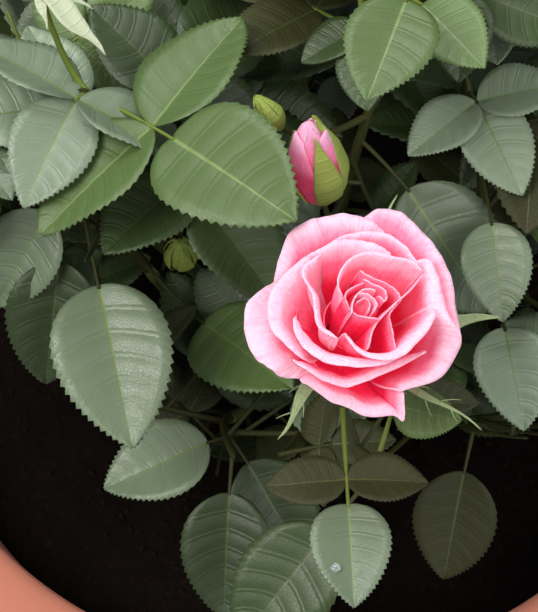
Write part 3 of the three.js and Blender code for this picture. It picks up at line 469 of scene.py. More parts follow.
def slab_faces(rows, columns):
    """Faces of a closed slab: a grid, its underside and the band between them."""
    if (rows, columns) not in SLABS:
        under = rows * columns
        edge = [(0, column) for column in range(columns)]
        edge += [(row, columns - 1) for row in range(1, rows)]
        edge += [(rows - 1, column) for column in range(columns - 2, -1, -1)]
        edge += [(row, 0) for row in range(rows - 2, 0, -1)]
        ring = [row * columns + column for row, column in edge]
        faces = grid_faces(rows, columns) + grid_faces(rows, columns, under, True)
        for a, b in zip(ring, ring[1:] + ring[:1]):
            faces.append([b, a, a + under, b + under])
        SLABS[rows, columns] = faces
    return SLABS[rows, columns]


def slab(sheaf, thickness, grid, marks, tone=0):
    """Adds a thin closed sheet. grid and marks are rows x columns x 3."""
    rows, columns, _ = grid.shape
    way = np.cross(np.gradient(grid, axis=1), np.gradient(grid, axis=0))
    size = np.linalg.norm(way, axis=2, keepdims=True)
    way = -way / np.maximum(size, 1e-9)
    half = thickness / 2
    points = np.vstack([(grid + way * half).reshape(-1, 3), (grid - way * half).reshape(-1, 3)])
    flat = marks.reshape(-1, 3)
    sheaf.add(points, slab_faces(rows, columns), np.vstack([flat, flat]), tone)


FIRST_ACROSS = (0.31, 0.17, 0.93)  # lies along no limb


def tube(sheaf, points, radii, sides, relief=None):
    """Adds a closed round limb along points. relief gives each ring's share of extra radius by angle."""
    points = np.asarray(points, float)
    ways = np.gradient(points, axis=0)
    across = np.array(FIRST_ACROSS)
    rings, marks = [], []
    turn = np.linspace(0, 2 * math.pi, sides, endpoint=False)
    for index, (centre, way, radius) in enumerate(zip(points, ways, radii)):
        ahead = unit(way)
        across = across_way(across, ahead)
        aside = np.cross(ahead, across)
        wide = radius * (1 + (relief(index, turn) if relief else 0 * turn))
        rings.append(centre + np.outer(np.cos(turn) * wide, across) + np.outer(np.sin(turn) * wide, aside))
        share = index / (len(points) - 1)
        marks.append(np.column_stack([turn * 0 + share, turn / (2 * math.pi), turn * 0]))
    last = len(points) - 1
    faces = []
    for ring in range(last):
        for side in range(sides):
            a, b = ring * sides + side, ring * sides + (side + 1) % sides
            faces.append([a, b, b + sides, a + sides])
    faces.append(list(range(sides))[::-1])
    faces.append([last * sides + side for side in range(sides)])
    sheaf.add(np.vstack(rings), faces, np.vstack(marks))


def lathe(sheaf, profile, sides, centre=(0, 0, 0), shape=None):
    """Adds a closed turned solid. profile runs from the axis at the bottom round to the axis at the top."""
    turn = np.linspace(0, 2 * math.pi, sides, endpoint=False)
    rows = [np.column_stack([np.cos(turn) * radius, np.sin(turn) * radius, turn * 0 + height])
            for radius, height in profile[1:-1]]
    points = np.vstack([[[0, 0, profile[0][1]]], *rows, [[0, 0, profile[-1][1]]]])
    if shape:
        points = shape(points)
    top = len(points) - 1
    faces = []
    for side in range(sides):
        after = (side + 1) % sides
        faces.append([0, 1 + after, 1 + side])
        for row in range(len(rows) - 1):
            a, b = 1 + row * sides + side, 1 + row * sides + after
            faces.append([a, b, b + sides, a + sides])
        last = 1 + (len(rows) - 1) * sides
        faces.append([top, last + side, last + after])
    sheaf.add(points + np.asarray(centre, float), faces, (0, 0, 0))


# Shader nodes

def maths(operation, reflected=False):
    """An operator between a socket and another value, which adds a Math node."""
    def operate(self, other):
        pair = (other, self) if reflected else (self, other)
        return self.calculate(operation, *pair)

    return operate


class Value:
    """A socket in a node tree; arithmetic on it adds Math nodes."""

    def __init__(self, tree, socket):
        self.tree, self.socket = tree, socket

    def calculate(self, operation, *items):
        node = self.tree.nodes.new("ShaderNodeMath")
        node.operation = operation
        for slot, item in zip(node.inputs, items):
            feed(self.tree, slot, item)
        return Value(self.tree, node.outputs[0])

    __add__ = __radd__ = maths("ADD")
    __mul__ = __rmul__ = maths("MULTIPLY")
    __sub__, __rsub__ = maths("SUBTRACT"), maths("SUBTRACT", reflected=True)

    def __abs__(self):
        return self.calculate("ABSOLUTE", self)

    def fraction(self):
        return self.calculate("FRACT", self)

    def between(self, low, high):
        """0 below low, 1 above high and a smooth rise between them."""
        node = self.tree.nodes.new("ShaderNodeMapRange")
        node.interpolation_type = "SMOOTHSTEP"
        for name, item in (("Value", self), ("From Min", low), ("From Max", high)):
            feed(self.tree, node.inputs[name], item)
        return Value(self.tree, node.outputs["Result"])


def feed(tree, slot, item):
    if isinstance(item, Value):
        tree.links.new(item.socket, slot)
    elif hasattr(slot.default_value, "__len__") and len(slot.default_value) == 4:
        slot.default_value = (*item, 1.0) if len(item) == 3 else item
    else:
        slot.default_value = item


class Nodes:
    """A node tree with one method for any node."""

    def __init__(self, tree):
        self.tree = tree

    def node(self, kind, settings=None, sockets=None, output=0):
        """Adds a node: its settings first, then its sockets. Returns one output."""
        node = self.tree.nodes.new(kind)
        for name, item in (settings or {}).items():
            setattr(node, name, item)
        for name, item in (sockets or {}).items():
            feed(self.tree, node.inputs[name], item)
        return Value(self.tree, node.outputs[output])


class Finish(Nodes):
    """A procedural material, built on one Principled shader."""

    def __init__(self, name, **constants):
        self.material = bpy.data.materials.new(name)
        self.material.use_nodes = True
        super().__init__(self.material.node_tree)
        self.shader = self.tree.nodes["Principled BSDF"]
        for slot, item in constants.items():
            feed(self.tree, self.shader.inputs[slot.replace("_", " ")], item)

    def mix(self, factor, a, b):
        """One colour mixed into another."""
        return self.node("ShaderNodeMix", {"data_type": "RGBA"}, {0: factor, 6: a, 7: b}, 2)

    def place(self):
        return self.node("ShaderNodeTexCoord", output="Object")

    def mark(self, name):
        """The three numbers of the piece's own attribute."""
        vector = self.node("ShaderNodeAttribute", {"attribute_name": name}, output="Vector")
        parts = self.tree.nodes.new("ShaderNodeSeparateXYZ")
        feed(self.tree, parts.inputs[0], vector)
        return [Value(self.tree, socket) for socket in parts.outputs]

    def noise(self, scale, detail=2.0, roughness=0.5, stretch=None):
        """Noise of a scale in 1/m, on Object coordinates."""
        place = self.place()
        if stretch:
            place = self.node("ShaderNodeMapping", None, {"Vector": place, "Scale": stretch})
        return self.node("ShaderNodeTexNoise", None, {
            "Vector": place, "Scale": scale, "Detail": detail, "Roughness": roughness})

    def bump(self, height, distance, strength):
        return self.node("ShaderNodeBump", None, {
            "Height": height, "Distance": distance, "Strength": strength})

    def surface(self, **inputs):
        for slot, item in inputs.items():
            feed(self.tree, self.shader.inputs[slot.replace("_", " ")], item)
        return self.material


# Growth of the canes, twigs and leaves

def cane_knots(plan):
    """A cane's foot, the bend from which it rises more steeply, and its tip."""
    foot = np.array([*STEM_AXIS, SOIL_LEVEL + plan["tier"]])
    tip = np.array(plan["tip"], float)
    bend = blend(foot, tip, CANE_BEND_OUT)
    bend[2] = blend(foot[2], tip[2], CANE_BEND_UP)
    return [foot, bend, tip]


def shoot_points(name, plan):
    _, bend, tip = cane_knots(plan)
    ahead = unit(tip - bend)
    start = tip + ahead * GAP
    top = np.array(plan["top"], float)
    if name == "front":
        return bezier([start, *FRONT_BENDS, top], 8)
    reach = np.linalg.norm(top - start)
    return bezier([start, start + ahead * reach * 0.4, top], 5)


def leaflet(root, along, face, length):
    """A leaflet's frame and its corners: its sides folded up, its tip falling."""
    ahead = unit(along)
    up = across_way(face, ahead)
    side = np.cross(up, ahead)

    def at(forward, sideways, rise):
        return root + (ahead * forward + side * sideways + up * rise) * length

    half = LEAFLET_WIDTH / 2
    return dict(
        root=root, length=length, ahead=ahead, up=up, side=side,
        left=at(LEAFLET_BROADEST, half, LEAFLET_FOLD),
        tip=at(1, 0, -LEAFLET_SAG),
        right=at(LEAFLET_BROADEST, -half, LEAFLET_FOLD),
        middle=at(LEAFLET_BROADEST, 0, 0),
    )


def dots_along(points, radius):
    """Dots with a radius along a line, no more than TEST_STEP apart."""
    dots = []
    for start, end in zip(points, points[1:]):
        steps = max(1, math.ceil(np.linalg.norm(end - start) / TEST_STEP))
        dots.append(start + np.outer(np.arange(steps + 1) / steps, end - start))
    dots = np.vstack(dots)
    return np.column_stack([dots, np.full(len(dots), radius)])


NO_SHEETS = np.empty((0, 3, 3))


def leaflet_shape(leaf):
    edge = [leaf["root"], leaf["left"], leaf["tip"], leaf["right"]]
    sheets = np.array([[a, b, leaf["middle"]] for a, b in zip(edge, edge[1:] + edge[:1])])
    line = [*edge, leaf["root"], leaf["middle"], leaf["tip"]]
    return dots_along(line, LEAFLET_THICKNESS / 2), sheets


def past_foot(points):
    """The same points without the first stretch, which stands in the limb that bears them."""
    foot, ahead = points[0], points[1]
    start = blend(foot, ahead, min(0.9, FOOT_LENGTH / np.linalg.norm(ahead - foot)))
    return [start, *points[1:]]


def turned(way, axis, angle):
    """A direction turned about an axis, in degrees."""
    turn = math.radians(angle)
    return (way * math.cos(turn) + np.cross(axis, way) * math.sin(turn)
            + axis * np.dot(axis, way) * (1 - math.cos(turn)))


def whole_leaf(foot, tip, plan, face):
    """A whole leaf: a stalk from its foot, an end leaflet and pairs of side leaflets."""
    size = plan["size"]
    knots = [foot, blend(foot, tip, 0.5) + UP * plan["arch"] * 2, tip]
    length = np.linalg.norm(np.diff(bezier(knots, 40), axis=0), axis=1).sum()
    base = max(SHORTEST_STALK, 1 - size / length)

    def station(share):
        spot = on_curve(knots, share)[0]
        ahead = unit(blend(knots[1] - knots[0], knots[2] - knots[1], share))
        return spot, ahead, across_way(face, ahead)

    stalk = [station(0)[0]]
    blades = []
    for pair in range(plan["pairs"], 0, -1):
        share = base * (1 - PAIR_SPACING * pair)
        back, ahead, up = station(share)
        front = station(share + NODE_LENGTH / length)[0]
        root = blend(back, front, 0.5)
        reach = size * (plan["side"] - SIDE_SHRINK * (pair - 1))
        blades += [leaflet(root, turned(ahead, up, hand * plan["spread"]), up, reach) for hand in (1, -1)]
        stalk += [back, front]
    root = station(base)[0]
    stalk.append(root)
    end = leaflet(root, tip - root, face, np.linalg.norm(tip - root))
    blades = [end, *blades]
    shapes = [(dots_along(past_foot(stalk), STALK_RADIUS), NO_SHEETS), *map(leaflet_shape, blades)]
    return dict(blades=blades, shapes=shapes, knots=knots, base=base)


def sheet_distance(points, sheets):
    """Distances from points to triangles, as points x triangles."""
    best = None
    corners = [sheets[:, index] for index in range(3)]
    normal = np.cross(corners[1] - corners[0], corners[2] - corners[0])
    normal /= np.maximum(np.linalg.norm(normal, axis=1, keepdims=True), 1e-9)
    inside = True
    for a, b in zip(corners, corners[1:] + corners[:1]):
        side = b - a
        away = points[:, None, :] - a[None]
        share = np.clip((away * side).sum(-1) / np.maximum((side * side).sum(-1), 1e-9), 0, 1)
        gap = np.linalg.norm(away - share[..., None] * side, axis=-1)
        best = gap if best is None else np.minimum(best, gap)
        inside = inside & ((np.cross(normal, side) * away).sum(-1) >= 0)
    plane = np.abs(((points[:, None, :] - corners[0]) * normal).sum(-1))
    return np.where(inside, plane, best)


def depth_in_crown(point):
    """How far a point lies below the top of the crown."""
    out = np.hypot(*((point - CROWN_CENTRE) / CROWN_RADII)[:2])
    return CROWN_CENTRE[2] + CROWN_RADII[2] * math.sqrt(max(0.0, 1 - out ** 2)) - point[2]


class Room:
    """The space that limbs and leaves take already, with the owner of each limb's dots."""

    def __init__(self):
        self.sheets = NO_SHEETS
        self.leaf_dots = np.empty((0, 4))
        self.limb_dots = np.empty((0, 5))

    def take(self, shape, owner):
        dots, sheets = shape
        if len(sheets):
            self.sheets = np.vstack([self.sheets, sheets])
            self.leaf_dots = np.vstack([self.leaf_dots, dots])
        else:
            self.limb_dots = np.vstack([self.limb_dots, np.column_stack([dots, np.full(len(dots), owner)])])

    def is_free(self, shape, owner, clearance):
        dots, sheets = shape
        low, high = dots[:, :3].min(0) - NEAR_ENOUGH, dots[:, :3].max(0) + NEAR_ENOUGH

        def near(items, least, most):
            return items[np.all((least < high) & (most > low), axis=1)]

        sheets_near = near(self.sheets, self.sheets.min(1), self.sheets.max(1))
        if len(sheets_near) and meet(dots, sheets_near, clearance):
            return False
        limbs = near(self.limb_dots, self.limb_dots[:, :3], self.limb_dots[:, :3])
        if len(sheets):
            leaves = near(self.leaf_dots, self.leaf_dots[:, :3], self.leaf_dots[:, :3])
            taken = np.vstack([leaves, limbs[:, :4]])
            return not len(taken) or not meet(taken, sheets, clearance)
        limbs = limbs[limbs[:, 4] != owner]
        if not len(limbs):
            return True
        gap = np.linalg.norm(dots[:, None, :3] - limbs[None, :, :3], axis=2)
        return (gap - dots[:, None, 3] - limbs[None, :, 3]).min() >= clearance


def meet(dots, sheets, clearance):
    gap = sheet_distance(dots[:, :3], sheets) - dots[:, None, 3]
    return gap.min() < LEAFLET_THICKNESS / 2 + clearance


class Bush:
    """Grows every mass together, so that each keeps clear of the others."""

    def __init__(self):
        self.room = Room()
        self.open_spots = [(np.array(centre, float), radius) for centre, radius in OPEN_SPOTS]
        self.masses = {}
        for number, (name, plan) in enumerate(SHOOTS.items()):
            points = shoot_points(name, plan)
            top = plan["top"]
            self.masses[name] = dict(
                number=number, plan=plan, points=points, leaves=[], twigs=[], bearers=[],
                centre=blend(points[0], points[-1], 0.6),
                outward=math.degrees(math.atan2(top[1] - STEM_AXIS[1], top[0])))
            self.room.take((dots_along(points, SHOOT_RADIUS), NO_SHEETS), number)
            self.room.take((dots_along(bezier(cane_knots(plan), 7), CANE_RADIUS), NO_SHEETS), -1)

    def add_buds(self):
        for bud in BUDS.values():
            mass = self.masses[bud["shoot"]]
            foot = along_points(mass["points"], bud["at"])
            top = np.array(bud["foot"], float)
            bend = blend(foot, top, BUD_BEND_OUT)
            bend[2] = foot[2] + BUD_BEND_RISE
            stalk = bezier([foot, bend, top], 5)
            mass["twigs"].append((stalk, TWIG_RADIUS, TWIG_RADIUS * TAPER))
            self.room.take((dots_along(stalk, TWIG_RADIUS), NO_SHEETS), mass["number"])
            body = np.array([bud["foot"], bud["tip"]], float)
            self.room.take((dots_along(body, bud["radius"]), NO_SHEETS), mass["number"])

    def add_set_leaves(self):
        for row in SET_LEAVES:
            mass = self.masses[row["shoot"]]
            tip = np.array(row["tip"], float)
            face = unit(blend(unit(VIEWER - tip), UP, FACE_UP))
            leaf = whole_leaf(along_points(mass["points"], row["at"]), tip, row, face)
            leaf.update(by_hand=True, drop=row.get("drop"), side_tone=row.get("side_tone", row["tone"]))
            self.keep(mass, leaf, row["tone"])
            for blade in leaf["blades"]:
                for share in OPEN_SHARES:
                    spot = blend(blade["root"], blade["tip"], share)
                    self.open_spots.append((spot, row["size"] * OPEN_RADIUS))

    def seal(self):
        """Readies the sight lines for the tests."""
        self.open_centres = np.array([centre for centre, _ in self.open_spots])
        self.open_radii = np.array([radius for _, radius in self.open_spots])
        self.open_reach = np.linalg.norm(self.open_centres - VIEWER, axis=1)

    def keep(self, mass, leaf, tone):
        leaf["tone"] = tone
        mass["leaves"].append(leaf)
        for shape in leaf["shapes"]:
            self.room.take(shape, mass["number"])

    def allowed(self, mass, shapes):
        """Whether shapes stay in the crown and in the mass's reach, off the bloom and the sight lines."""
        dots = np.vstack([dots for dots, _ in shapes])[:, :3]
        away = (dots - CROWN_CENTRE) / CROWN_RADII
        if np.linalg.norm(away, axis=1).max() >= 1 or dots[:, 2].min() <= LOWEST_LEAF:
            return False
        if np.linalg.norm(dots - mass["centre"], axis=1).max() >= mass["plan"]["reach"]:
            return False
        centre, radius = BLOOM_SPACE
        if np.linalg.norm(dots - centre, axis=1).min() <= radius:
            return False
        share = np.linalg.norm(dots - VIEWER, axis=1)[:, None] / self.open_reach
        sight = VIEWER + share[..., None] * (self.open_centres - VIEWER)
        gap = np.linalg.norm(sight - dots[:, None], axis=2)
        return not ((share < 0.995) & (gap < self.open_radii * share)).any()

    def fits(self, mass, shapes, clearance):
        return self.allowed(mass, shapes) and all(
            self.room.is_free(shape, mass["number"], clearance) for shape in shapes)

    def grow_leaf(self, mass, bearer, share, turn, draw,
                  sizes=RULE_SIZES, clearance=CLEARANCE, tries=TRIES):
        """Tries a compound leaf on a limb until one fits, with a tone for its depth in the crown."""
        for _ in range(tries):
            a, b, c, d, e = (draw() for _ in range(5))
            azimuth = math.radians(turn + (a - 0.5) * LEAF_TURN)
            size = blend(*sizes, b)
            pairs = 2 if c < TWO_PAIRS else 1
            lift = math.radians(blend(*LEAF_LIFT, d * 0.65 + share * 0.35))
            foot = along_points(bearer, share)
            reach = size * (LEAF_REACH + REACH_PER_PAIR * pairs)
            flat = math.cos(lift)
            way = np.array([math.cos(azimuth) * flat, math.sin(azimuth) * flat, math.sin(lift)])
            plan = dict(size=size, pairs=pairs, side=SIDE_SIZE, spread=blend(*SIDE_SPREAD, a),
                        arch=size * LEAF_ARCH)
            lean = math.radians(turn + e * 360)
            face = unit(np.array([math.cos(lean) * LEAF_LEAN, math.sin(lean) * LEAF_LEAN, 1]))
            leaf = whole_leaf(foot, foot + way * reach, plan, face)
            if self.fits(mass, leaf["shapes"], clearance):
                # A leaf deep in the crown mostly gets the dark and olive tones, which are painted shade
                shady = depth_in_crown(leaf["blades"][0]["tip"]) > SHADE_DEPTH
                shares = SHADY_TONES if shady else SUNNY_TONES
                # The later digits of one of the draws choose the tone
                place = np.searchsorted(np.cumsum(list(shares.values())), (d * 997) % 1 * 0.999)
                leaf["side_tone"] = list(shares)[place]
                self.keep(mass, leaf, leaf["side_tone"])
                return

    def grow_twig(self, mass, bearer, share, spread, draw, lengths, radius,
                  clearance=CLEARANCE, tries=TRIES):
        """Tries a twig on a limb until one fits, and returns its points."""
        for _ in range(tries):
            a, b, c = (draw() for _ in range(3))
            azimuth = math.radians(mass["outward"] + spread + (a - 0.5) * TWIG_TURN)
            lift = math.radians(blend(*TWIG_LIFT, b))
            length = blend(*lengths, c)
            foot = along_points(bearer, share)
            flat, rise = length * math.cos(lift), length * math.sin(lift)
            top = foot + np.array([math.cos(azimuth) * flat, math.sin(azimuth) * flat, rise])
            points = bezier([foot, blend(foot, top, 0.6) - UP * length * TWIG_DROOP, top], 3)
            shape = (dots_along(past_foot(list(points)), radius), NO_SHEETS)
            if self.fits(mass, [shape], clearance):
                mass["twigs"].append((points, radius, radius * TAPER))
                mass["bearers"].append((points, mass["outward"] + spread))
                self.room.take(shape, mass["number"])
                return points
        return None

    def grow_rule(self):
        """The twigs and leaves that the solids have too."""
        for mass in self.masses.values():
            plan = mass["plan"]
            draw = stream(plan["seed"])
            for count in range(plan["twigs"]):
                share = blend(*TWIG_SHARES, (count + 0.5) / plan["twigs"])
                spread = blend(*TWIG_FAN, count / max(1, plan["twigs"] - 1))
                self.grow_twig(mass, mass["points"], share, spread, draw, TWIG_LENGTHS, TWIG_RADIUS)
            first, step = ON_TWIG
            for points, turn in mass["bearers"]:
                for count in range(LEAVES_PER_TWIG):
                    self.grow_leaf(mass, points, first - step * count, turn + count * GOLDEN_ANGLE, draw)
            first, step = ON_SHOOT
            for count in range(plan["leaves"]):
                share = first - step * (count / plan["leaves"])
                turn = mass["outward"] + count * GOLDEN_ANGLE
                self.grow_leaf(mass, mass["points"], share, turn, draw)

    def grow_finer(self, twigs_per_limb, leaves_per_twig):
        """Finer twigs and smaller leaves on the same limbs, within the same reach."""
        self.open_spots += [(np.array(centre, float), radius) for centre, radius in FINE_OPEN_SPOTS]
        self.seal()
        first, step = ON_FINE_TWIG
        for mass in self.masses.values():
            draw = stream(mass["plan"]["seed"] + FINE_SEED)
            cane = on_curve(cane_knots(mass["plan"]), np.linspace(*CANE_SHARES, 6))
            limbs = [(mass["points"], mass["outward"]), (cane, mass["outward"] + 90), *mass["bearers"]]
            for points, turn in limbs:
                for count in range(twigs_per_limb):
                    share = blend(*FINE_TWIG_SHARES, draw())
                    spread = turn - mass["outward"] + count * GOLDEN_ANGLE
                    twig = self.grow_twig(mass, points, share, spread, draw, FINE_TWIG_LENGTHS,
                                          FINE_TWIG_RADIUS, FINE_CLEARANCE)
                    bearer = points if twig is None else twig
                    leaves = len(mass["leaves"])
                    for place in range(leaves_per_twig):
                        angle = turn + spread + place * GOLDEN_ANGLE
                        self.grow_leaf(mass, bearer, first - step * place, angle, draw,
                                       FINE_SIZES, FINE_CLEARANCE)
                    if twig is not None and len(mass["leaves"]) == leaves:
                        mass["twigs"].pop()
            for points, turn in [limbs[0], *limbs[2:]]:
                self.grow_leaf(mass, points, 1, turn, draw, TIP_SIZES, 0, TIP_TRIES)


# Leaf blades

def blade_width(along):
    """Half the width of a leaflet at a share of its length, in shares of its length."""
    blunt, sharp = 0.58, 0.84
    broadest = blunt / (blunt + sharp)
    peak = broadest ** blunt * (1 - broadest) ** sharp
    along = np.clip(along, 0, 1)
    return LEAFLET_WIDTH / 2 * along ** blunt * (1 - along) ** sharp / peak


# Rows along a leaflet and the places of its columns, from margin to margin with the midrib's strip between
NEAR_DETAIL = (42, np.array([-1, -0.76, -0.5, -0.25, -0.05, 0.05, 0.25, 0.5, 0.76, 1]))
FAR_DETAIL = (22, np.array([-1, -0.5, -0.05, 0.05, 0.5, 1]))
VEINS = 7
BLADE_THICKNESS = 0.32
# In shares of a leaflet's length: how far its side veins run forward, its teeth, half its midrib's width
# and the swellings between its veins
VEIN_RUN, TOOTH, RIB_HALF_WIDTH, VEIN_SWELL = 0.17, 0.011, 0.013, 0.010
SAG_POWER = 2.2


def add_blade(sheaf, blade, tone, rib_tone, draw, stations, across):
    """Adds one leaflet: rows that run forward like its side veins, a toothed margin, swellings between the
    veins, and a midrib of its own colour."""
    length = blade["length"]
    ease = np.linspace(0, 1, stations + 1)[:, None]
    rib = 0.006 + 0.988 * ease
    v = across[None, :]
    wide = np.abs(v)
    along = rib + VEIN_RUN * np.sin(math.pi * rib) ** 0.8 * wide ** 1.35
    along = np.minimum(along, 0.997)
    half = blade_width(along)
    tooth = np.where(np.arange(stations + 1) % 2 == 1, 1.0, -0.7)[:, None] * (wide > 0.99)
    tooth = tooth * np.sin(math.pi * ease) ** 0.4
    sideways = v * (half + TOOTH * tooth)
    rib_half = np.minimum(RIB_HALF_WIDTH * (1 - 0.75 * along), 0.4 * half)
    sideways = np.where(wide < 0.1, np.sign(v) * rib_half, sideways)
    along = along + 0.4 / stations * tooth
    a, b, c, d, e = (draw() for _ in range(5))
    phase = (ease * VEINS) % 1.0
    swell = VEIN_SWELL * np.sin(math.pi * phase) * np.sqrt(np.clip(wide * (1 - wide) * 4, 0, 1))
    fold = blend(0.7, 1.35, a) * LEAFLET_FOLD * wide ** 1.2 * half / (LEAFLET_WIDTH / 2)
    sag = blend(0.6, 1.3, b) * LEAFLET_SAG * along ** SAG_POWER
    ruffle = 0.012 * wave(1.6 * along + c) * wide ** 2 * np.sign(v)
    twist = (d - 0.5) * 0.22 * along * sideways
    groove = -0.006 * np.exp(-(v / 0.08) ** 2)
    rise = fold - sag + ruffle + twist + swell + groove
    bend = (e - 0.5) * 0.05 * along ** 2
    grid = placed(blade["root"], (blade["ahead"], along * length),
                  (blade["side"], (sideways + bend) * length), (blade["up"], rise * length))
    strips = len(across) - 1
    is_rib = np.arange(stations * strips) % strips == strips // 2
    face_tones = np.where(is_rib, rib_tone, tone).tolist() * 2 + [tone] * (2 * (stations + strips))
    slab(sheaf, BLADE_THICKNESS, grid, marks_over(grid, ease, v, 0), face_tones)
    return grid


# Materials

# Colours of small pieces and marks, next to those that a user can change
SPECK_COLOUR = (0.42, 0.38, 0.22)
# The soil's flecks and crumbs are kept near black too, partly as painted shade
SOIL_FLECK_COLOUR = (0.012, 0.007, 0.004)
CRUMB_COLOUR = (0.008, 0.005, 0.0035)
PRICKLE_COLOUR = (0.30, 0.09, 0.05)
SEPAL_COLOUR = (0.24, 0.31, 0.14)
BUD_SEPAL_COLOUR = (0.26, 0.33, 0.06)
# The cup's darker pink is partly painted shade
BUD_PETAL_COLOURS = ((0.93, 0.42, 0.60), (0.86, 0.20, 0.36), (0.6, 0.04, 0.12))  # lip, middle and cup
YOUNG_LEAF_COLOUR = (0.42, 0.46, 0.31)
# The drop is not fully clear: its share of opaque white is a painted highlight
WATER_COLOUR = (0.97, 0.99, 1.0)


def leaf_finish(name, colour, gloss=0.36):
    """A leaf's plain green, with raised veins, a fine net between them and a soft gloss."""
    finish = Finish(name, IOR=1.5, Base_Color=colour)
    ease, v, _ = finish.mark("blade")
    wide = abs(v)
    side_vein = 1 - abs((ease * float(VEINS) + 0.5).fraction() - 0.5).between(0.0, 0.13)
    side_vein = side_vein * (1 - wide.between(0.7, 1.0))
    mottle = finish.noise(420.0, 3.0, 0.6)
    net = finish.node("ShaderNodeTexVoronoi", {"feature": "DISTANCE_TO_EDGE"}, {
        "Vector": finish.place(), "Scale": 900.0})
    normal = finish.bump(net.between(0.0, 0.12) * 0.13 - side_vein * 0.55, 0.0005, 0.5)
    return finish.surface(Roughness=gloss + mottle * 0.16, Normal=normal)


def petal_finish(name, lip, middle, deep):
    """Petal pink, pale at the lip and saturated in the cup, with fine lengthwise lines and a faint
    glow of painted light.
    """
    # The emission in the petal's own colour is painted light that stands in for light shining through the
    # petals
    finish = Finish(name, IOR=1.4, Subsurface_Weight=0.5, Subsurface_Radius=(1.0, 0.22, 0.34),
                    Subsurface_Scale=0.0022, Emission_Strength=0.15)
    row, column, pale = finish.mark("petal")
    place = finish.node("ShaderNodeCombineXYZ", None, {
        "X": column * 60.0, "Y": row * 3.0, "Z": pale * 40.0})
    lines = finish.node("ShaderNodeTexNoise", None, {"Vector": place, "Scale": 1.0, "Detail": 3.0})
    cloud = finish.noise(110.0, 3.0)
    # Deep pink low in the cup and pale pink at the lip: partly the petals' own colours, partly painted
    # shade in the recesses and painted light on the lips
    past_pale = row - pale + (lines - 0.5) * 0.12 + (cloud - 0.5) * 0.24
    base = finish.mix(past_pale.between(-0.32, -0.09), deep, middle)
    base = finish.mix(past_pale.between(-0.05, 0.17) * 0.94, base, lip)
    creases = finish.noise(330.0, 2.0, 0.6, (1.0, 1.0, 0.45))
    normal = finish.bump(lines * 1.2 + cloud * 2.6 + creases * 1.4, 0.0007, 0.7)
    return finish.surface(
        Base_Color=base, Emission_Color=base, Roughness=0.50 + lines * 0.12, Normal=normal)


def scaled(colour, share):
    return tuple(channel * share for channel in colour)


def bark_finish(name, colour, streak_scale):
    """Bark with darker lengthwise streaks and pale specks."""
    finish = Finish(name)
    streaks = finish.noise(streak_scale, 4.0, 0.6, (1.0, 1.0, 0.18))
    specks = finish.node("ShaderNodeTexVoronoi", None, {"Vector": finish.place(), "Scale": 900.0})
    base = finish.mix(streaks.between(0.4, 0.75) * 0.45, colour, scaled(colour, 0.55))
    base = finish.mix((1 - specks.between(0.08, 0.16)) * 0.35, base, SPECK_COLOUR)
    normal = finish.bump(streaks, 0.0008, 0.6)
    return finish.surface(Base_Color=base, Roughness=0.55 + streaks * 0.25, Normal=normal)


def clay_finish(name, colour):
    """Dry fired clay: pale bloom in patches, darker grains and fine turning lines."""
    finish = Finish(name, IOR=1.45)
    cloud = finish.noise(11.0, 4.0, 0.6)
    grain = finish.noise(1400.0, 2.0, 0.7)
    bands = finish.noise(30.0, 3.0, 0.6, (0.25, 0.25, 9.0))
    pale = tuple(min(1, channel * 1.25 + 0.10) for channel in colour)
    dark = scaled(colour, 0.66)
    base = finish.mix(cloud.between(0.48, 0.74) * 0.6, colour, pale)
    base = finish.mix(bands.between(0.5, 0.8) * 0.35, base, dark)
    base = finish.mix(grain.between(0.62, 0.8) * 0.4, base, dark)
    normal = finish.bump(grain * 0.35 + bands, 0.0009, 0.5)
    return finish.surface(Base_Color=base, Roughness=0.86 + cloud * 0.08, Normal=normal)


def soil_finish(name, colour, fleck):
    """Moist potting soil: near black, partly as painted shade, with brown fibres and damp glints."""
    finish = Finish(name, Specular_IOR_Level=0.06)
    lumps = finish.noise(260.0, 5.0, 0.7)
    damp = finish.noise(24.0, 2.0)
    base = finish.mix(lumps.between(0.5, 0.75), colour, fleck)
    base = finish.mix(damp.between(0.35, 0.65) * 0.6, base, scaled(colour, 0.5))
    normal = finish.bump(lumps, 0.0016, 0.9)
    return finish.surface(Base_Color=base, Roughness=0.95 - damp * 0.25, Normal=normal)


def plain_finish(name, colour, rough, scale=300.0, shine=0.5):
    """One plain colour, a little uneven to the light."""
    finish = Finish(name, Base_Color=colour, Specular_IOR_Level=shine)
    mottle = finish.noise(scale, 3.0, 0.6)
    return finish.surface(Roughness=rough + mottle * 0.1, Normal=finish.bump(mottle, 0.0003, 0.5))


# Geometry Nodes

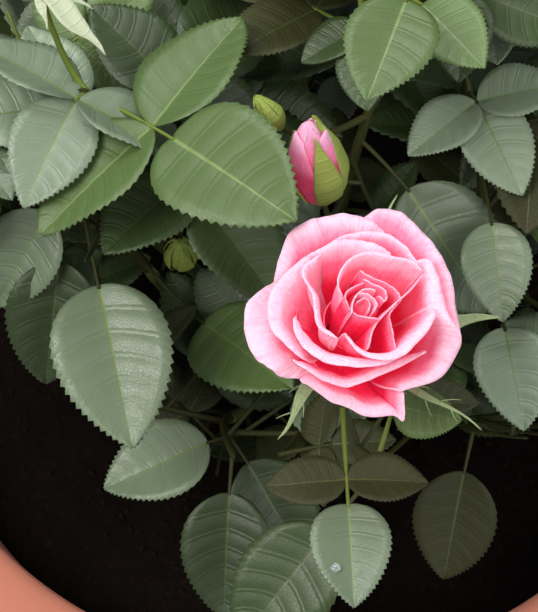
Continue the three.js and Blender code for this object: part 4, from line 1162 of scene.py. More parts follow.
class Growth(Nodes):
    """A Geometry Nodes tree with named inputs, ending in Realize Instances and Set Material."""

    def __init__(self, name, inputs):
        tree = bpy.data.node_groups.new(name, "GeometryNodeTree")
        super().__init__(tree)
        tree.interface.new_socket("Geometry", in_out="INPUT", socket_type="NodeSocketGeometry")
        for title, kind in inputs.items():
            tree.interface.new_socket(title, in_out="INPUT", socket_type=f"NodeSocket{kind}")
        tree.interface.new_socket("Geometry", in_out="OUTPUT", socket_type="NodeSocketGeometry")
        self.start = tree.nodes.new("NodeGroupInput")
        self.end = tree.nodes.new("NodeGroupOutput")

    def given(self, name):
        return Value(self.tree, self.start.outputs[name])

    def finish(self, geometry):
        whole = self.node("GeometryNodeRealizeInstances", None, {"Geometry": geometry})
        whole = self.node("GeometryNodeSetMaterial", None, {
            "Geometry": whole, "Material": self.given("Material")})
        self.tree.links.new(whole.socket, self.end.inputs[0])

    def run(self, piece, inputs):
        """Runs the tree on a piece and keeps the result as its plain mesh."""
        modifier = piece.modifiers.new(self.tree.name, "NODES")
        modifier.node_group = self.tree
        for item in self.tree.interface.items_tree:
            if item.in_out == "INPUT" and item.name in inputs:
                modifier[item.identifier] = inputs[item.name]
        graph = bpy.context.evaluated_depsgraph_get()
        mesh = bpy.data.meshes.new_from_object(piece.evaluated_get(graph))
        piece.modifiers.remove(modifier)
        piece.data = mesh
        mesh.polygons.foreach_set("use_smooth", [True] * len(mesh.polygons))
        mesh.update()


def limb_growth():
    """Round limbs along edges, as thick as the radius kept at each point."""
    growth = Growth("Round limbs", {"Sides": "Int", "Material": "Material"})
    curve = growth.node("GeometryNodeMeshToCurve", None, {"Mesh": growth.given("Geometry")})
    radius = growth.node("GeometryNodeInputNamedAttribute", {"data_type": "FLOAT"}, {"Name": "radius"})
    ring = growth.node("GeometryNodeCurvePrimitiveCircle", None, {
        "Resolution": growth.given("Sides"), "Radius": 1.0})
    growth.finish(growth.node("GeometryNodeCurveToMesh", None, {
        "Curve": curve, "Profile Curve": ring, "Scale": radius, "Fill Caps": True}))
    return growth


def scatter_growth():
    """Small shapes scattered over a surface, turned to it, with a spread of sizes."""
    growth = Growth("Scatter", {
        "Shape": "Object", "Density": "Float", "Smallest": "Float", "Largest": "Float", "Seed": "Int",
        "Material": "Material"})
    spots = growth.tree.nodes.new("GeometryNodeDistributePointsOnFaces")
    for slot, item in (("Mesh", "Geometry"), ("Density", "Density"), ("Seed", "Seed")):
        feed(growth.tree, spots.inputs[slot], growth.given(item))
    shape = growth.node("GeometryNodeObjectInfo", None, {"Object": growth.given("Shape")}, "Geometry")
    size = growth.node("FunctionNodeRandomValue", {"data_type": "FLOAT"}, {
        2: growth.given("Smallest"), 3: growth.given("Largest"), "Seed": growth.given("Seed")}, 1)
    turn = growth.node("FunctionNodeRandomValue", {"data_type": "FLOAT_VECTOR"}, {
        0: (0.0, 0.0, 0.0), 1: (0.0, 0.0, 2 * math.pi), "Seed": 7}, 0)
    spin = growth.node("FunctionNodeEulerToRotation", None, {0: turn})
    stand = growth.node("FunctionNodeRotateRotation", {"rotation_space": "LOCAL"}, {
        0: Value(growth.tree, spots.outputs["Rotation"]), 1: spin})
    growth.finish(growth.node("GeometryNodeInstanceOnPoints", None, {
        "Points": Value(growth.tree, spots.outputs["Points"]), "Instance": shape,
        "Rotation": stand, "Scale": size}))
    return growth


def scatter(piece, name, corners, faces, density, sizes, seed, material):
    """Turns a surface into many copies of a small shape that are scattered over it."""
    mesh = bpy.data.meshes.new(name)
    mesh.from_pydata(corners, [], faces)
    shape = linked(name, mesh)
    scatter_growth().run(piece, {
        "Shape": shape, "Density": density, "Smallest": sizes[0], "Largest": sizes[1], "Seed": seed,
        "Material": material})
    bpy.data.objects.remove(shape)
    bpy.data.meshes.remove(mesh)


def settle(piece, slot, *nodes):
    """Puts a finished piece on the plant's body, in place of the nodes it stands for. Its slot is not used.
    """
    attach(piece, "root")
    if nodes:
        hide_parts(*nodes)


# Sizes and colours

def swatch(title, words, default):
    """A colour that a user can change."""
    return FloatVectorProperty(
        name=title, description=words, default=default, size=3, min=0, max=1, subtype="COLOR")


class RoseBushSizes(bpy.types.PropertyGroup):
    """Sizes and counts of the plant's finer parts."""
    petal_thickness: FloatProperty(
        name="Petal thickness", description="Thickness of a petal", default=PETAL_THICKNESS * MM,
        min=0.0002, max=0.002, subtype="DISTANCE", unit="LENGTH")
    crumb_density: FloatProperty(
        name="Soil crumbs", description="Crumbs of soil on a square metre",
        default=34000.0, min=0, max=90000)
    prickle_density: FloatProperty(
        name="Prickles", description="Prickles on a square metre of cane",
        default=1500.0, min=0, max=9000)
    fine_twigs: IntProperty(
        name="Finer twigs", description="Finer twigs tried on each limb of a mass",
        default=4, min=0, max=12)
    fine_leaves: IntProperty(
        name="Finer leaves", description="Small leaves tried on each finer twig",
        default=3, min=0, max=6)


class RoseBushColours(bpy.types.PropertyGroup):
    """Base colours of the plant, its soil and its pot."""
    clay: swatch("Clay", "Fired clay of the pot", (0.50, 0.175, 0.112))
    # Near black: partly the soil's own dark colour, partly painted shade
    soil: swatch("Soil", "Moist potting soil", (0.0045, 0.0028, 0.002))
    leaf: swatch("Leaf", "Mid green of the leaves", (0.088, 0.142, 0.040))
    pale_leaf: swatch("Pale leaf", "Yellow green of the lighter leaves", (0.125, 0.185, 0.05))
    # Partly painted sheen: the grey of the sky's light on glossy leaves, over their green
    grey_leaf: swatch("Grey leaf", "Grey green of the glossy leaves", (0.138, 0.184, 0.110))
    # Painted shade on the lower leaves; higher up it is a darker tone at random
    dark_leaf: swatch("Dark leaf", "Deep green of the lower leaves", (0.032, 0.055, 0.015))
    bronze_leaf: swatch("Bronze leaf", "Brown green of young leaves", (0.085, 0.078, 0.022))
    # Painted shade of leaves deep in the crown and under the bloom
    olive_leaf: swatch("Olive leaf", "Dark olive of the shaded leaves", (0.030, 0.033, 0.004))
    # Painted reflection: green lightened as if by the sky's light on a glossy leaf
    silver_leaf: swatch("Silver leaf", "Leaf with the sky's light on it", (0.178, 0.232, 0.150))
    pale_rib: swatch("Pale rib", "Light green midrib", (0.145, 0.212, 0.064))
    # Partly painted shade, as the midrib of the dark and olive leaves
    deep_rib: swatch("Deep rib", "Midrib of a dark leaf", (0.060, 0.080, 0.020))
    high_twig: swatch("High twig", "Young bark of the upper twigs and leaf stalks", (0.125, 0.168, 0.026))
    # Painted shade: a darker, slightly browner copy of the twigs' bark for those deep in the crown
    shaded_twig: swatch("Shaded twig", "Bark of the twigs deep in the crown", (0.036, 0.040, 0.008))
    bark: swatch("Cane", "Green bark of the canes", (0.085, 0.125, 0.022))
    wood: swatch("Wood", "Grey brown wood of the short stem", (0.15, 0.105, 0.065))
    # The lip's pale pink is partly painted light, the cup's deep pink partly painted shade
    lip: swatch("Petal lip", "Pale pink of the petals' lips", (0.94, 0.49, 0.61))
    petal: swatch("Petal", "Pink of the petals", (0.95, 0.21, 0.34))
    deep: swatch("Petal cup", "Deep pink in the cups of the petals", (0.82, 0.022, 0.09))


class PotMaker(bpy.types.Operator):
    """Turn the terracotta pot with its collar and rounded rim"""
    bl_idname = "rose_bush.pot"
    bl_label = "Pot"

    def execute(self, context):
        collar, shoulder = POT_HEIGHT - COLLAR_HEIGHT, POT_HEIGHT - RIM_ROUND
        footing = FOOT_RADIUS - WALL
        mouth = POT_HEIGHT - RIM_ROUND / 2

        def inner(height):
            return blend(footing, RIM_INNER_RADIUS, (height - POT_FLOOR) / (mouth - POT_FLOOR))

        def straight(start, end, shares):
            return [(blend(start[0], end[0], share), blend(start[1], end[1], share)) for share in shares]

        neck = inner(collar) + WALL
        profile = [(0, 0), *((FOOT_RADIUS + out, up) for out, up in FOOT_EDGE)]
        profile += straight(profile[-1], (neck, collar), np.linspace(0.05, 0.97, 18))
        profile += [(neck + out, collar + up) for out, up in COLLAR_EDGE]
        profile += straight(profile[-1], (RIM_OUTER_RADIUS, shoulder), np.linspace(0.15, 1, 6))
        crown = (RIM_OUTER_RADIUS + RIM_INNER_RADIUS) / 2
        half = (RIM_OUTER_RADIUS - RIM_INNER_RADIUS) / 2
        profile += [(crown + half * math.cos(turn) ** 0.6, shoulder + RIM_ROUND * math.sin(turn) ** 0.8)
                    for turn in np.linspace(0.15, math.pi / 2, 8)]
        profile += [(crown - half * math.sin(turn) ** 0.6,
                     shoulder + RIM_ROUND * max(0.0, math.cos(turn)) ** 0.8)
                    for turn in np.linspace(0.1, math.pi / 2, 8)]
        profile += straight((inner(shoulder), shoulder), (footing, POT_FLOOR), np.linspace(0.1, 1, 14))
        profile += [(0, POT_FLOOR)]

        def hand_turned(points):
            """The slight unevenness of a pot turned by hand."""
            turn = np.arctan2(points[:, 1], points[:, 0])
            height = points[:, 2]
            size = (0.0016 * np.sin(2 * turn + 0.4) + 0.0011 * np.sin(3 * turn + height * 0.02)
                    + 0.0009 * np.sin(height * 0.9) * np.sin(turn + 1.0))
            size = np.where(height < 5, 0, size) - 0.002
            scale = np.column_stack([1 + size, 1 + size, np.ones(len(size))])
            return points * scale

        sheaf = Sheaf()
        lathe(sheaf, profile, POT_SIDES, shape=hand_turned)
        paints = context.scene.rose_bush_colours
        pot = sheaf.piece("terracotta_pot", [clay_finish("Terracotta", paints.clay[:])])
        settle(pot, "terracotta", "pot")
        return {"FINISHED"}


class SoilMaker(bpy.types.Operator):
    """Fill the pot with soil and scatter crumbs over it"""
    bl_idname = "rose_bush.soil"
    bl_label = "Soil"

    def execute(self, context):
        sizes, paints = context.scene.rose_bush_sizes, context.scene.rose_bush_colours
        low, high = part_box("soil")
        radius = high[0] / MM
        edge = SOIL_LEVEL - SOIL_CROWN
        bottom = low[2] / MM
        footing = FOOT_RADIUS - WALL
        profile = [(0, bottom), (footing - 0.5, bottom), (radius - 0.6, edge - 3)]
        profile += [(blend(radius - 1.2, 2.0, share), blend(edge, SOIL_LEVEL, min(1.0, share * 1.6)))
                    for share in np.linspace(0, 1, 46)]
        profile += [(0, SOIL_LEVEL)]

        def heaped(points):
            """Soft lumps in the soil's top."""
            x, y, z = points.T
            lumps = (np.sin(x * 0.21 + 1.1) * np.sin(y * 0.19 + 0.3) + 0.6 * np.sin(x * 0.47 + y * 0.31)
                     + 0.4 * np.sin(x * 0.9 - 0.7) * np.sin(y * 1.1 + 2.0))
            return points + np.outer(np.where(z > edge - 1, lumps * 0.7 - 1.4, 0), UP)

        sheaf = Sheaf()
        lathe(sheaf, profile, SOIL_SIDES, shape=heaped)
        soil_paint = soil_finish("Soil", paints.soil[:], SOIL_FLECK_COLOUR)
        soil = sheaf.piece("potting_soil", [soil_paint])
        settle(soil, "soil", "soil")

        top = bpy.data.meshes.new("crumb_bed")
        chosen = {index for index, spot in enumerate(soil.data.vertices) if spot.co.z > (edge - 2) * MM}
        faces = [list(face.vertices) for face in soil.data.polygons if chosen.issuperset(face.vertices)]
        top.from_pydata([tuple(spot.co) for spot in soil.data.vertices], [], faces)
        crumbs = linked("soil_crumbs", top)
        corners = [(0.5, 0.1, 0), (-0.5, 0.16, 0.05), (0.1, 0.5, 0.12), (-0.05, -0.45, 0),
                   (0.08, 0.02, 0.42), (0, 0, -0.3)]
        sides = [[0, 2, 4], [2, 1, 4], [1, 3, 4], [3, 0, 4], [2, 0, 5], [1, 2, 5], [3, 1, 5], [0, 3, 5]]
        scatter(crumbs, "crumb", corners, sides, sizes.crumb_density, CRUMB_SIZES, CRUMB_SEED,
                plain_finish("Crumbs", CRUMB_COLOUR, 0.9, 900.0, 0.06))
        crumbs.data.polygons.foreach_set("use_smooth", [False] * len(crumbs.data.polygons))
        settle(crumbs, "soil")
        return {"FINISHED"}


class CaneMaker(bpy.types.Operator):
    """Grow the short woody stem and the canes, with their bark and prickles"""
    bl_idname = "rose_bush.canes"
    bl_label = "Stem and canes"

    def execute(self, context):
        sizes, paints = context.scene.rose_bush_sizes, context.scene.rose_bush_colours
        wood = bark_finish("Old wood", paints.wood[:], 260.0)
        green = bark_finish("Green bark", paints.bark[:], 300.0)
        stem = Sheaf()
        share = np.linspace(0, 1, 30)
        narrowing = np.clip((share - STEM_SHOULDER) / (1 - STEM_SHOULDER), 0, 1)
        radius = blend(STEM_RADIUS, STEM_TOP_RADIUS, narrowing ** 2)
        radius = radius + (FLARE_RADIUS - STEM_RADIUS) * np.exp(-share * FLARE_FALL)
        centres = np.array([*STEM_AXIS, SOIL_LEVEL + GAP]) + np.outer(share, UP) * STEM_HEIGHT

        def ridges(ring, turn):
            """Lengthwise ridges of old bark."""
            return (0.05 * np.sin(turn * 5 + ring * 0.22) + 0.03 * np.sin(turn * 9 - ring * 0.35)
                    + 0.05 * np.sin(ring * 0.9) * np.sin(turn * 2 + 1))

        tube(stem, centres, radius * 0.95, STEM_SIDES, ridges)
        settle(stem.piece("woody_stem", [wood]), "woody_stem", "short_stem")

        canes = Sheaf()
        for name, plan in SHOOTS.items():
            points = bezier(cane_knots(plan), CANE_STEPS)[STEPS_IN_STEM:]
            radii = np.linspace(CANE_RADIUS, SHOOT_RADIUS, len(points))
            draw = stream(plan["seed"] + CANE_SEED)
            knots = [int(draw() * (CANE_STEPS - STEPS_IN_STEM)) for _ in range(NODES_PER_CANE)]

            def nodes(ring, turn):
                """Swellings at the nodes, and faint ridges."""
                swelling = sum(0.10 * math.exp(-((ring - knot) / 1.3) ** 2) for knot in knots)
                return swelling + 0.025 * np.sin(turn * 4 + ring * 0.2) + 0.012 * np.sin(turn * 7 + ring)

            tube(canes, points, radii, CANE_SIDES, nodes)
        piece = canes.piece("green_canes", [green])
        prickles = linked("prickles", piece.data.copy())
        hook = [(0.42, 0, -0.1), (0.2, 0.3, -0.1), (-0.4, 0.22, -0.1), (-0.9, 0, -0.1), (-0.4, -0.22, -0.1),
                (0.2, -0.3, -0.1), (-0.55, 0, 1.45)]
        faces = [[index, (index + 1) % 6, 6] for index in range(6)] + [[5, 4, 3, 2, 1, 0]]
        scatter(prickles, "prickle", hook, faces, sizes.prickle_density, PRICKLE_SIZES, PRICKLE_SEED,
                plain_finish("Prickle", PRICKLE_COLOUR, 0.45))
        settle(piece, "green_cane", *[f"cane_{name}" for name in SHOOTS])
        settle(prickles, "green_cane")
        return {"FINISHED"}


FOLIAGE = {
    "foliage_front": ("front", "front_left", "front_right"),
    "foliage_left": ("left", "upper_left", "outer_left"),
    "foliage_right": ("centre", "right", "outer_right"),
    "foliage_back": ("back_left", "back", "back_right", "outer_back"),
}
NEAR_VIEW = 700.0  # leaflets nearer to the camera than this have more detail
LEAF_SEED = 2000  # added to a mass's own
DROP_RADIUS = 1.5
RIB_SHARES, RIB_DROP = (0, 0.12, 0.3, 0.5), 0.35  # the round rib that goes on from a stalk under a leaflet
# Colour and gloss of each tone's leaves
TONES = dict(
    mid=("leaf", 0.38), pale=("pale_leaf", 0.38), grey=("grey_leaf", 0.27), dark=("dark_leaf", 0.36),
    bronze=("bronze_leaf", 0.34), olive=("olive_leaf", 0.62), silver=("silver_leaf", 0.27))


class FoliageMaker(bpy.types.Operator):
    """Grow the shoots, twigs and sprays of compound leaves"""
    bl_idname = "rose_bush.foliage"
    bl_label = "Foliage"

    def execute(self, context):
        sizes, paints = context.scene.rose_bush_sizes, context.scene.rose_bush_colours
        bush = Bush()
        bush.add_buds()
        bush.add_set_leaves()
        bush.seal()
        bush.grow_rule()
        bush.grow_finer(sizes.fine_twigs, sizes.fine_leaves)
        materials, numbers = self.leaf_materials(paints)
        for title, names in FOLIAGE.items():
            sheaf = Sheaf()
            for name in names:
                self.add_leaves(sheaf, bush.masses[name], numbers)
            settle(sheaf.piece(title, materials, "blade"), "foliage", *[f"leaves_{name}" for name in names])
        self.add_twigs(bush, paints)
        return {"FINISHED"}

    def leaf_materials(self, paints):
        """Two plain shades of each tone, then the midribs' colours, with the number that each starts at."""
        materials, numbers = [], {}
        for tone, (paint, gloss) in TONES.items():
            numbers[tone] = len(materials)
            for title, shade in (("plain", PLAIN_SHADE), ("light", LIGHT_SHADE)):
                shaded = scaled(getattr(paints, paint), shade)
                materials.append(leaf_finish(f"Leaf {tone} {title}", shaded, gloss))
        for rib, paint in (("pale", paints.pale_rib), ("deep", paints.deep_rib)):
            numbers[f"{rib} rib"] = len(materials)
            materials.append(plain_finish(f"Midrib {rib}", paint[:], 0.4))
        return materials, numbers

    def add_leaves(self, sheaf, mass, numbers):
        draw = stream(mass["plan"]["seed"] + LEAF_SEED)
        for leaf in mass["leaves"]:
            shade = int(draw() * 2)
            for blade in leaf["blades"]:
                is_end = blade is leaf["blades"][0]
                tone = leaf["tone"] if is_end else leaf["side_tone"]
                near = leaf.get("by_hand") or np.linalg.norm(blade["middle"] - VIEWER) < NEAR_VIEW
                grid = add_blade(sheaf, blade, numbers[tone] + shade, numbers[RIBS[tone] + " rib"], draw,
                                 *(NEAR_DETAIL if near else FAR_DETAIL))
                if is_end and leaf.get("drop"):
                    self.add_drop(grid, blade["up"], leaf["drop"])

    def add_drop(self, grid, up, place):
        """A drop of water that stands on a leaf, a share along it and a share out from its midrib."""
        rows, columns, _ = grid.shape
        spot = grid[int(place[0] * (rows - 1)), int(round((place[1] + 1) / 2 * (columns - 1)))]
        turn = np.linspace(0, math.pi, 13)
        profile = [(DROP_RADIUS * math.sin(angle), -DROP_RADIUS * 0.55 * math.cos(angle)) for angle in turn]
        profile[0], profile[-1] = (0, profile[0][1]), (0, profile[-1][1])
        drop = Sheaf()
        lathe(drop, profile, 24, spot + up * DROP_RADIUS * 0.4)
        # An opaque white share in the water: a painted highlight
        finish = Finish("Water", IOR=1.33, Transmission_Weight=0.85, Base_Color=WATER_COLOUR)
        finish.surface(Roughness=finish.noise(400.0) * 0.04)
        settle(drop.piece("water_drop", [finish.material]), "foliage")

    def add_twigs(self, bush, paints):
        """Shoots, twigs and leaf stalks as lines with a radius, which a node tree makes round. Those deep
        in the crown get a darker colour, as painted shade."""
        high, low = [], []

        def keep(line, radii):
            chosen = low if depth_in_crown(line[len(line) // 2]) > SHADE_DEPTH else high
            chosen.append((line, radii))

        for mass in bush.masses.values():
            keep(*pointed(smooth_line(mass["points"], 24), SHOOT_RADIUS, SHOOT_RADIUS * TAPER))
            for points, start, end in mass["twigs"]:
                keep(*pointed(smooth_line(points, 10), start, end))
            for leaf in mass["leaves"]:
                stalk = on_curve(leaf["knots"], np.linspace(0, leaf["base"] + 0.02, 9))
                keep(stalk, np.linspace(STALK_RADIUS, STALK_RADIUS * TAPER, 9))
                for blade in leaf["blades"]:
                    share, length = np.array(RIB_SHARES), blade["length"]
                    rib = placed(blade["root"], (blade["ahead"], share * length - 1.0),
                                 (blade["up"], -RIB_DROP - length * LEAFLET_SAG * share ** SAG_POWER))
                    keep(rib, np.linspace(STALK_RADIUS * 0.62, STALK_RADIUS * 0.2, len(rib)))
        growth = limb_growth()
        for place, lines, paint in (("high", high, paints.high_twig), ("low", low, paints.shaded_twig)):
            edges, first = [], 0
            for line, _ in lines:
                edges += [(first + index, first + index + 1) for index in range(len(line) - 1)]
                first += len(line)
            points, thick = (np.concatenate(parts) * MM for parts in zip(*lines))
            mesh = bpy.data.meshes.new(f"twigs_{place}")
            mesh.from_pydata(points.tolist(), edges, [])
            layer = mesh.attributes.new("radius", "FLOAT", "POINT")
            layer.data.foreach_set("value", thick.astype(np.float32))
            twigs = linked(f"twigs_{place}", mesh)
            growth.run(twigs, {
                "Sides": TWIG_SIDES, "Material": plain_finish(f"twigs {place}", paint[:], 0.55, shine=0.3)})
            settle(twigs, "foliage")


def pointed(points, start, end):
    """A line and its radii, drawn out to a point."""
    point = points[-1] + unit(points[-1] - points[-2]) * end * 2.5
    return np.vstack([points, point]), np.append(np.linspace(start, end, len(points)), end * 0.12)


# The bloom

def bloom_frame():
    """The bloom's foot and its own directions: ahead points from its foot to its heart."""
    shoot_top = np.array(SHOOTS["front"]["top"], float)
    ahead = unit(BLOOM_HEART - shoot_top)
    foot = shoot_top + ahead * GAP
    across = across_way(np.array([1.0, 0, 0]), ahead)
    return foot, ahead, across, np.cross(ahead, across)


def profile_grid(x, y, height, lip, limit, share, crinkle, draw):
    """A surface from the bloom's root up its belly and throat to a rim. limit is the share that each column
    reaches."""
    foot, ahead, across, away = bloom_frame()
    radius, turn = np.hypot(x, y), np.arctan2(y, x)
    throat = np.maximum(radius - lip * 1.5, radius * 0.35)
    reached = share * limit
    left = 1 - reached
    out = (PETAL_ROOT_RADIUS, blend(radius, throat, 0.45), throat, radius)
    high = (BELLY_HEIGHT, blend(BELLY_HEIGHT, height, 0.3), height + lip * 0.24, height)
    weights = (left ** 3, 3 * reached * left ** 2, 3 * reached ** 2 * left, reached ** 3)
    reach = sum(weight * item for weight, item in zip(weights, out))
    rise = sum(weight * item for weight, item in zip(weights, high))
    u = np.linspace(0, 1, len(x))[None, :]
    a, b, c, d = (draw() for _ in range(4))
    fold = (wave(1.4 * u + 0.7 * share + a) + 0.55 * wave(3.3 * u - 1.1 * share + b)
            + 0.3 * wave(7.1 * u + 1.9 * share + c))
    reach = reach + crinkle * fold * share * (1.15 - share)
    ruffle = wave(2.3 * u + d) + 0.6 * wave(5.7 * u + a) + 0.35 * wave(12.3 * u + b)
    rise = rise + ruffle * crinkle * 0.6 * share ** 5
    return placed(foot, (across, np.cos(turn) * reach), (away, np.sin(turn) * reach), (ahead, rise))


def petal_grid(petal, draw):
    """A petal's surface, which goes on past both ends of its rim and rounds down there."""
    foot, ahead, across, away = bloom_frame()
    lip = petal["lip"]
    rim = smooth_line(petal["rim"], PETAL_STEPS)
    level = rim[:, 2] - HEART_HEIGHT
    depth = (rim[:, 1] - math.cos(VIEW_ELEVATION) * level) / math.sin(VIEW_ELEVATION)
    place = BLOOM_HEART + np.column_stack([rim[:, 0], depth, level]) - foot
    line = np.column_stack([place @ across, place @ away, place @ ahead])
    end = 0.7 + 0.32 * lip
    away_share = np.linspace(1, 1 / END_COLUMNS, END_COLUMNS)
    first, last = unit(line[0] - line[2]) * end, unit(line[-1] - line[-3]) * end
    line = np.vstack([
        line[0] + np.outer(away_share, first), line, line[-1] + np.outer(away_share[::-1], last)])
    round_end = np.sqrt(1 - 0.8 * away_share ** 2)
    limit = np.concatenate([round_end, np.ones(PETAL_STEPS + 1), round_end[::-1]])[None, :]
    share = np.linspace(0, 1, PETAL_ROWS + 1)[:, None]
    crinkle = 0.30 + 0.085 * lip
    place = np.clip(np.arange(len(line)) - END_COLUMNS, 0, PETAL_STEPS) / PETAL_STEPS
    lip = lip * (0.35 + 0.65 * np.sqrt(np.sin(math.pi * place)))
    grid = profile_grid(*line.T, lip, limit, share, crinkle, draw)
    u = np.linspace(0, 1, len(line))
    return grid, marks_over(grid, share * blend(limit, 1.0, 0.6), u, petal["pale"])


def bowl_grid(radius, height, draw):
    """A plain bowl under the petals, which closes the gaps between them."""
    turn = np.linspace(0, 2 * math.pi * 1.03, 61)
    share = np.linspace(0, 1, 13)[:, None]
    level = np.full(len(turn), height)
    grid = profile_grid(np.cos(turn) * radius, np.sin(turn) * radius, level, 0, 1, share, 0, draw)
    return grid, marks_over(grid, share, turn / 7, BOWL_PALE)


def sepal_grid(root, way, length, slim, draw):
    """A sepal's surface: a slim blade that bends and twists to a long tip."""
    ahead = unit(way)
    up = across_way(UP, ahead)
    side = np.cross(up, ahead)
    share = np.linspace(0, 1, 25)[:, None]
    v = np.linspace(-1, 1, 7)[None, :]
    half = slim * np.interp(share, SEPAL_SHARES, SEPAL_WIDTHS)
    twist = (draw() - 0.5) * 2.2 * share ** 2
    bow = ((draw() - 0.5) * 0.12 + 0.03 * np.sin(share * 9)) * share
    rise = 0.3 * np.abs(v) ** 1.3 * half - 0.05 * length * share ** 2
    sideways = v * half
    grid = placed(root, (ahead, share * length * (1 - 0.02 * np.abs(v))),
                  (side, sideways * np.cos(twist) + bow * length), (up, rise + sideways * np.sin(twist)))
    return grid, marks_over(grid, share, v, 0.5)


class BloomMaker(bpy.types.Operator):
    """Shape the open double bloom, petal by petal, with its hip and sepals"""
    bl_idname = "rose_bush.bloom"
    bl_label = "Bloom"

    def execute(self, context):
        sizes, paints = context.scene.rose_bush_sizes, context.scene.rose_bush_colours
        thickness = sizes.petal_thickness / MM
        draw = stream(BLOOM_SEED)
        petals = Sheaf()
        for petal in PETALS.values():
            slab(petals, thickness, *petal_grid(petal, draw))
        for radius, height in BOWLS:
            slab(petals, thickness, *bowl_grid(radius, height, draw))
        self.add_heart(petals)
        paint = petal_finish("Petal", paints.lip[:], paints.petal[:], paints.deep[:])
        settle(petals.piece("bloom_petals", [paint], "petal"), "bloom", "bloom")

        foot, ahead, _, _ = bloom_frame()
        greens = Sheaf()
        levels = np.linspace(0, HIP_LEVELS[-1], 16)
        hip = HIP_RADIUS * np.interp(levels, HIP_LEVELS, HIP_SHARES)
        tube(greens, foot + np.outer(levels, ahead), hip, HIP_SIDES)
        for sepal in SEPALS:
            self.add_sepal(greens, sepal, foot + ahead * 4, draw)
        green = leaf_finish("Sepal", SEPAL_COLOUR, 0.45)
        settle(greens.piece("bloom_sepals", [green], "blade"), "foliage")
        return {"FINISHED"}

    def add_heart(self, petals):
        """The closed heart that the innermost petals wrap."""
        foot, ahead, across, _ = bloom_frame()
        lean = np.linspace(0, 1, len(HEART_LEVELS))
        centres = foot + np.outer(HEART_LEVELS, ahead) - np.outer(lean * 1.2, across)
        tube(petals, centres, HEART_RADII, HEART_SIDES)
        petals.marks[-1] = petals.marks[-1] * (0.22, 1, 0) + (0.5, 0, 0.86)

    def add_sepal(self, greens, sepal, root, draw):
        turn = math.radians(sepal["angle"])
        length = sepal["length"]
        way = np.array([math.cos(turn) * length, math.sin(turn) * length, -sepal["fall"]])
        grid, marks = sepal_grid(root, way, length, sepal["slim"], draw)
        slab(greens, SEPAL_THICKNESS, grid, marks)
        for count in range(sepal["threads"]):
            row = int(blend(11, 20, (count + 0.5) / sepal["threads"]))
            hand = 1 if count % 2 else -1
            start = grid[row, 3 + 2 * hand]
            side = unit(grid[row, 6] - grid[row, 0]) * hand
            reach = blend(*THREAD_LENGTHS, draw())
            middle = start + side * reach * 0.5 + unit(way) * reach * 0.5
            top = start + side * reach * 0.7 + unit(way) * reach + UP * blend(-1.5, 1.5, draw())
            tube(greens, bezier([start, middle, top], 5), np.linspace(*THREAD_RADII, 6), THREAD_SIDES)


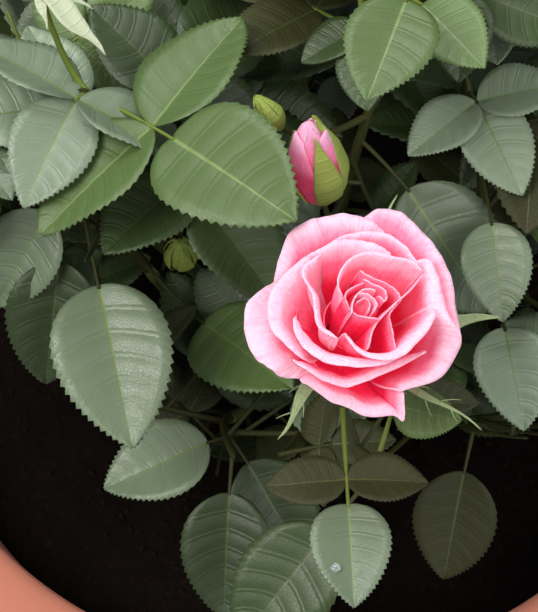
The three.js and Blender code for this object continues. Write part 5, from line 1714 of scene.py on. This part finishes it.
class BudMaker(bpy.types.Operator):
    """Shape the buds, the sepals that hold them and a young leaf that is still folded"""
    bl_idname = "rose_bush.buds"
    bl_label = "Buds and young leaf"

    def execute(self, context):
        pink = petal_finish("Bud petal", *BUD_PETAL_COLOURS)
        pale = leaf_finish("Bud sepal", BUD_SEPAL_COLOUR, 0.45)
        fresh = leaf_finish("Young leaf", YOUNG_LEAF_COLOUR, 0.45)
        petals, sepals, young = Sheaf(), Sheaf(), Sheaf()
        for number, bud in enumerate(BUDS.values()):
            draw = stream(BUD_SEED + number)
            if "closed" in bud:
                self.add_bud(petals, sepals, bud, draw)
            else:
                self.add_young_leaf(young, bud, draw)
        settle(young.piece("young_leaf", [fresh], "blade"), "foliage")
        settle(petals.piece("bud_petals", [pink], "petal"), "bloom")
        settle(sepals.piece("bud_sepals", [pale], "blade"), "foliage")
        return {"FINISHED"}

    def add_young_leaf(self, young, bud, draw):
        """A leaf that is still folded and twisted, with two smaller ones at its foot."""
        foot, tip = np.array(bud["foot"], float), np.array(bud["tip"], float)
        length = np.linalg.norm(tip - foot)
        for reach, slim, spread in YOUNG_LEAFLETS:
            way = turned(unit(tip - foot), UP, spread)
            slab(young, BUD_THICKNESS, *sepal_grid(foot, way, length * reach, slim, draw))

    def add_bud(self, petals, sepals, bud, draw):
        foot, tip = np.array(bud["foot"], float), np.array(bud["tip"], float)
        size = bud["radius"]
        length = np.linalg.norm(tip - foot)
        ahead = unit(tip - foot)
        across = across_way(np.array([1.0, 0, 0]), ahead)
        away = np.cross(ahead, across)
        rows, columns = np.linspace(0, 1, 17)[:, None], np.linspace(0, 1, 13)[None, :]

        def wrap(sheaf, start, sweep, low, high, swell, narrow, flare, mark):
            """A petal or sepal wrapped round the bud, from low to high along it."""
            level = blend(low, high, rows)
            radius = np.interp(level, BUD_LEVELS, BUD_RADII) * size + swell * size / 8.5 + flare * rows ** 4
            taper = 1 - narrow * rows ** 2.2
            crown = 1 - 0.10 * (2 * columns - 1) ** 2 * rows ** 4
            turn = np.radians(start + sweep * (columns - 0.5) * taper)
            spiral = radius - 0.07 * size * (1 - columns)
            grid = placed(foot, (ahead, level * crown * length),
                          (across, np.cos(turn) * spiral), (away, np.sin(turn) * spiral))
            slab(sheaf, BUD_THICKNESS, grid, marks_over(grid, rows, columns * 2 - 1, mark))

        def body(sheaf, levels, radii, sides):
            tube(sheaf, foot + np.outer(levels, ahead * length), radii * size, sides)

        closed = bud["closed"]
        levels = np.linspace(0.02, 1, 18)
        radii = np.interp(levels, BUD_LEVELS, BUD_RADII) * 0.9
        body(sepals if closed else petals, levels, radii, BUD_SIDES)
        if not closed:
            for count in range(BUD_PETALS):
                wrap(petals, start=150 + count * GOLDEN_ANGLE, sweep=150, low=0.06,
                     high=blend(1.0, 0.9, count / (BUD_PETALS - 1)), swell=0.2 + 0.22 * count,
                     narrow=0.45, flare=0.25 * count, mark=0.78)
        levels = np.linspace(BUD_HIP_LEVELS[0], BUD_HIP_LEVELS[-1], 9)
        body(sepals, levels, np.interp(levels, BUD_HIP_LEVELS, BUD_HIP_RADII), BUD_HIP_SIDES)
        for start, reach in zip(BUD_SEPAL_ANGLES, CLOSED_REACHES if closed else OPEN_REACHES):
            wrap(sepals, start, sweep=64, low=0.08, high=reach, swell=0.5 if closed else 1.5, narrow=0.9,
                 flare=0.2 if closed else 1.2, mark=draw())


FLOOR_HALF, FLOOR_COLOUR = 12.0, (0.61, 0.60, 0.58)
SKY_COLOUR, SKY_STRENGTH = (0.86, 0.93, 1.0, 1), 0.29
LIT_POINT = (0, 0, 0.36)
# Each lamp's place, size, power and tint
LAMPS = dict(
    key=((-0.70, -0.35, 1.60), 0.8, 17.0, (1.0, 0.97, 0.93)),
    fill=((0.80, -0.75, 1.45), 1.2, 11.0, (1.0, 0.98, 0.96)),
    sky=((-0.25, 0.80, 1.80), 0.9, 17.0, (0.95, 0.98, 1.0)),
)


class StageMaker(bpy.types.Operator):
    """Lay the pale floor and set the soft studio light and the camera"""
    bl_idname = "rose_bush.stage"
    bl_label = "Stage"

    def execute(self, context):
        scene = context.scene
        mesh = bpy.data.meshes.new("floor")
        corners = [(x * FLOOR_HALF, y * FLOOR_HALF, 0) for x, y in ((-1, -1), (1, -1), (1, 1), (-1, 1))]
        mesh.from_pydata(corners, [], [[0, 1, 2, 3]])
        floor = linked("floor", mesh)
        mesh.materials.append(plain_finish("Pale floor", FLOOR_COLOUR, 0.7, 6.0))

        scene.world = bpy.data.worlds.new("Studio")
        scene.world.use_nodes = True
        sky = scene.world.node_tree.nodes["Background"]
        sky.inputs["Color"].default_value = SKY_COLOUR
        sky.inputs["Strength"].default_value = SKY_STRENGTH
        for name, lamp in LAMPS.items():
            self.lamp(name, *lamp)

        camera = bpy.data.cameras.new("camera")
        camera.lens, camera.sensor_width = LENS, SENSOR
        view = bpy.data.objects.new("camera", camera)
        view.location = VIEWER * MM
        view.rotation_euler = (math.pi / 2 - VIEW_ELEVATION, 0, 0)
        scene.collection.objects.link(view)
        scene.camera = view
        scene.view_settings.view_transform = "Standard"
        return {"FINISHED"}

    def lamp(self, name, place, size, power, tint):
        light = bpy.data.lights.new(name, "AREA")
        light.shape, light.size, light.energy, light.color = "DISK", size, power, tint
        lamp = bpy.data.objects.new(name, light)
        lamp.location = place
        lamp.rotation_euler = (Vector(LIT_POINT) - Vector(place)).to_track_quat("-Z", "Y").to_euler()
        bpy.context.scene.collection.objects.link(lamp)


class RoseBushPanel(bpy.types.Panel):
    """The plant's sizes, colours and makers"""
    bl_idname = "VIEW3D_PT_rose_bush"
    bl_label = "Rose bush"
    bl_space_type = "VIEW_3D"
    bl_region_type = "UI"
    bl_category = "Rose bush"

    def draw(self, context):
        layout = self.layout
        for group in (context.scene.rose_bush_sizes, context.scene.rose_bush_colours):
            for name in group.bl_rna.properties.keys():
                if name not in ("rna_type", "name"):
                    layout.prop(group, name)
        for maker in MAKERS:
            layout.operator(maker.bl_idname)


MAKERS = (StageMaker, PotMaker, SoilMaker, CaneMaker, FoliageMaker, BloomMaker, BudMaker)
CLASSES = (RoseBushSizes, RoseBushColours, *MAKERS, RoseBushPanel)


def register():
    for item in CLASSES:
        bpy.utils.register_class(item)
    bpy.types.Scene.rose_bush_sizes = PointerProperty(type=RoseBushSizes)
    bpy.types.Scene.rose_bush_colours = PointerProperty(type=RoseBushColours)


def unregister():
    del bpy.types.Scene.rose_bush_colours
    del bpy.types.Scene.rose_bush_sizes
    for item in reversed(CLASSES):
        bpy.utils.unregister_class(item)


def main():
    register()
    bpy.ops.rose_bush.stage()
    bpy.ops.rose_bush.pot()
    bpy.ops.rose_bush.soil()
    bpy.ops.rose_bush.canes()
    bpy.ops.rose_bush.foliage()
    bpy.ops.rose_bush.bloom()
    bpy.ops.rose_bush.buds()


if __name__ == "__main__":
    main()
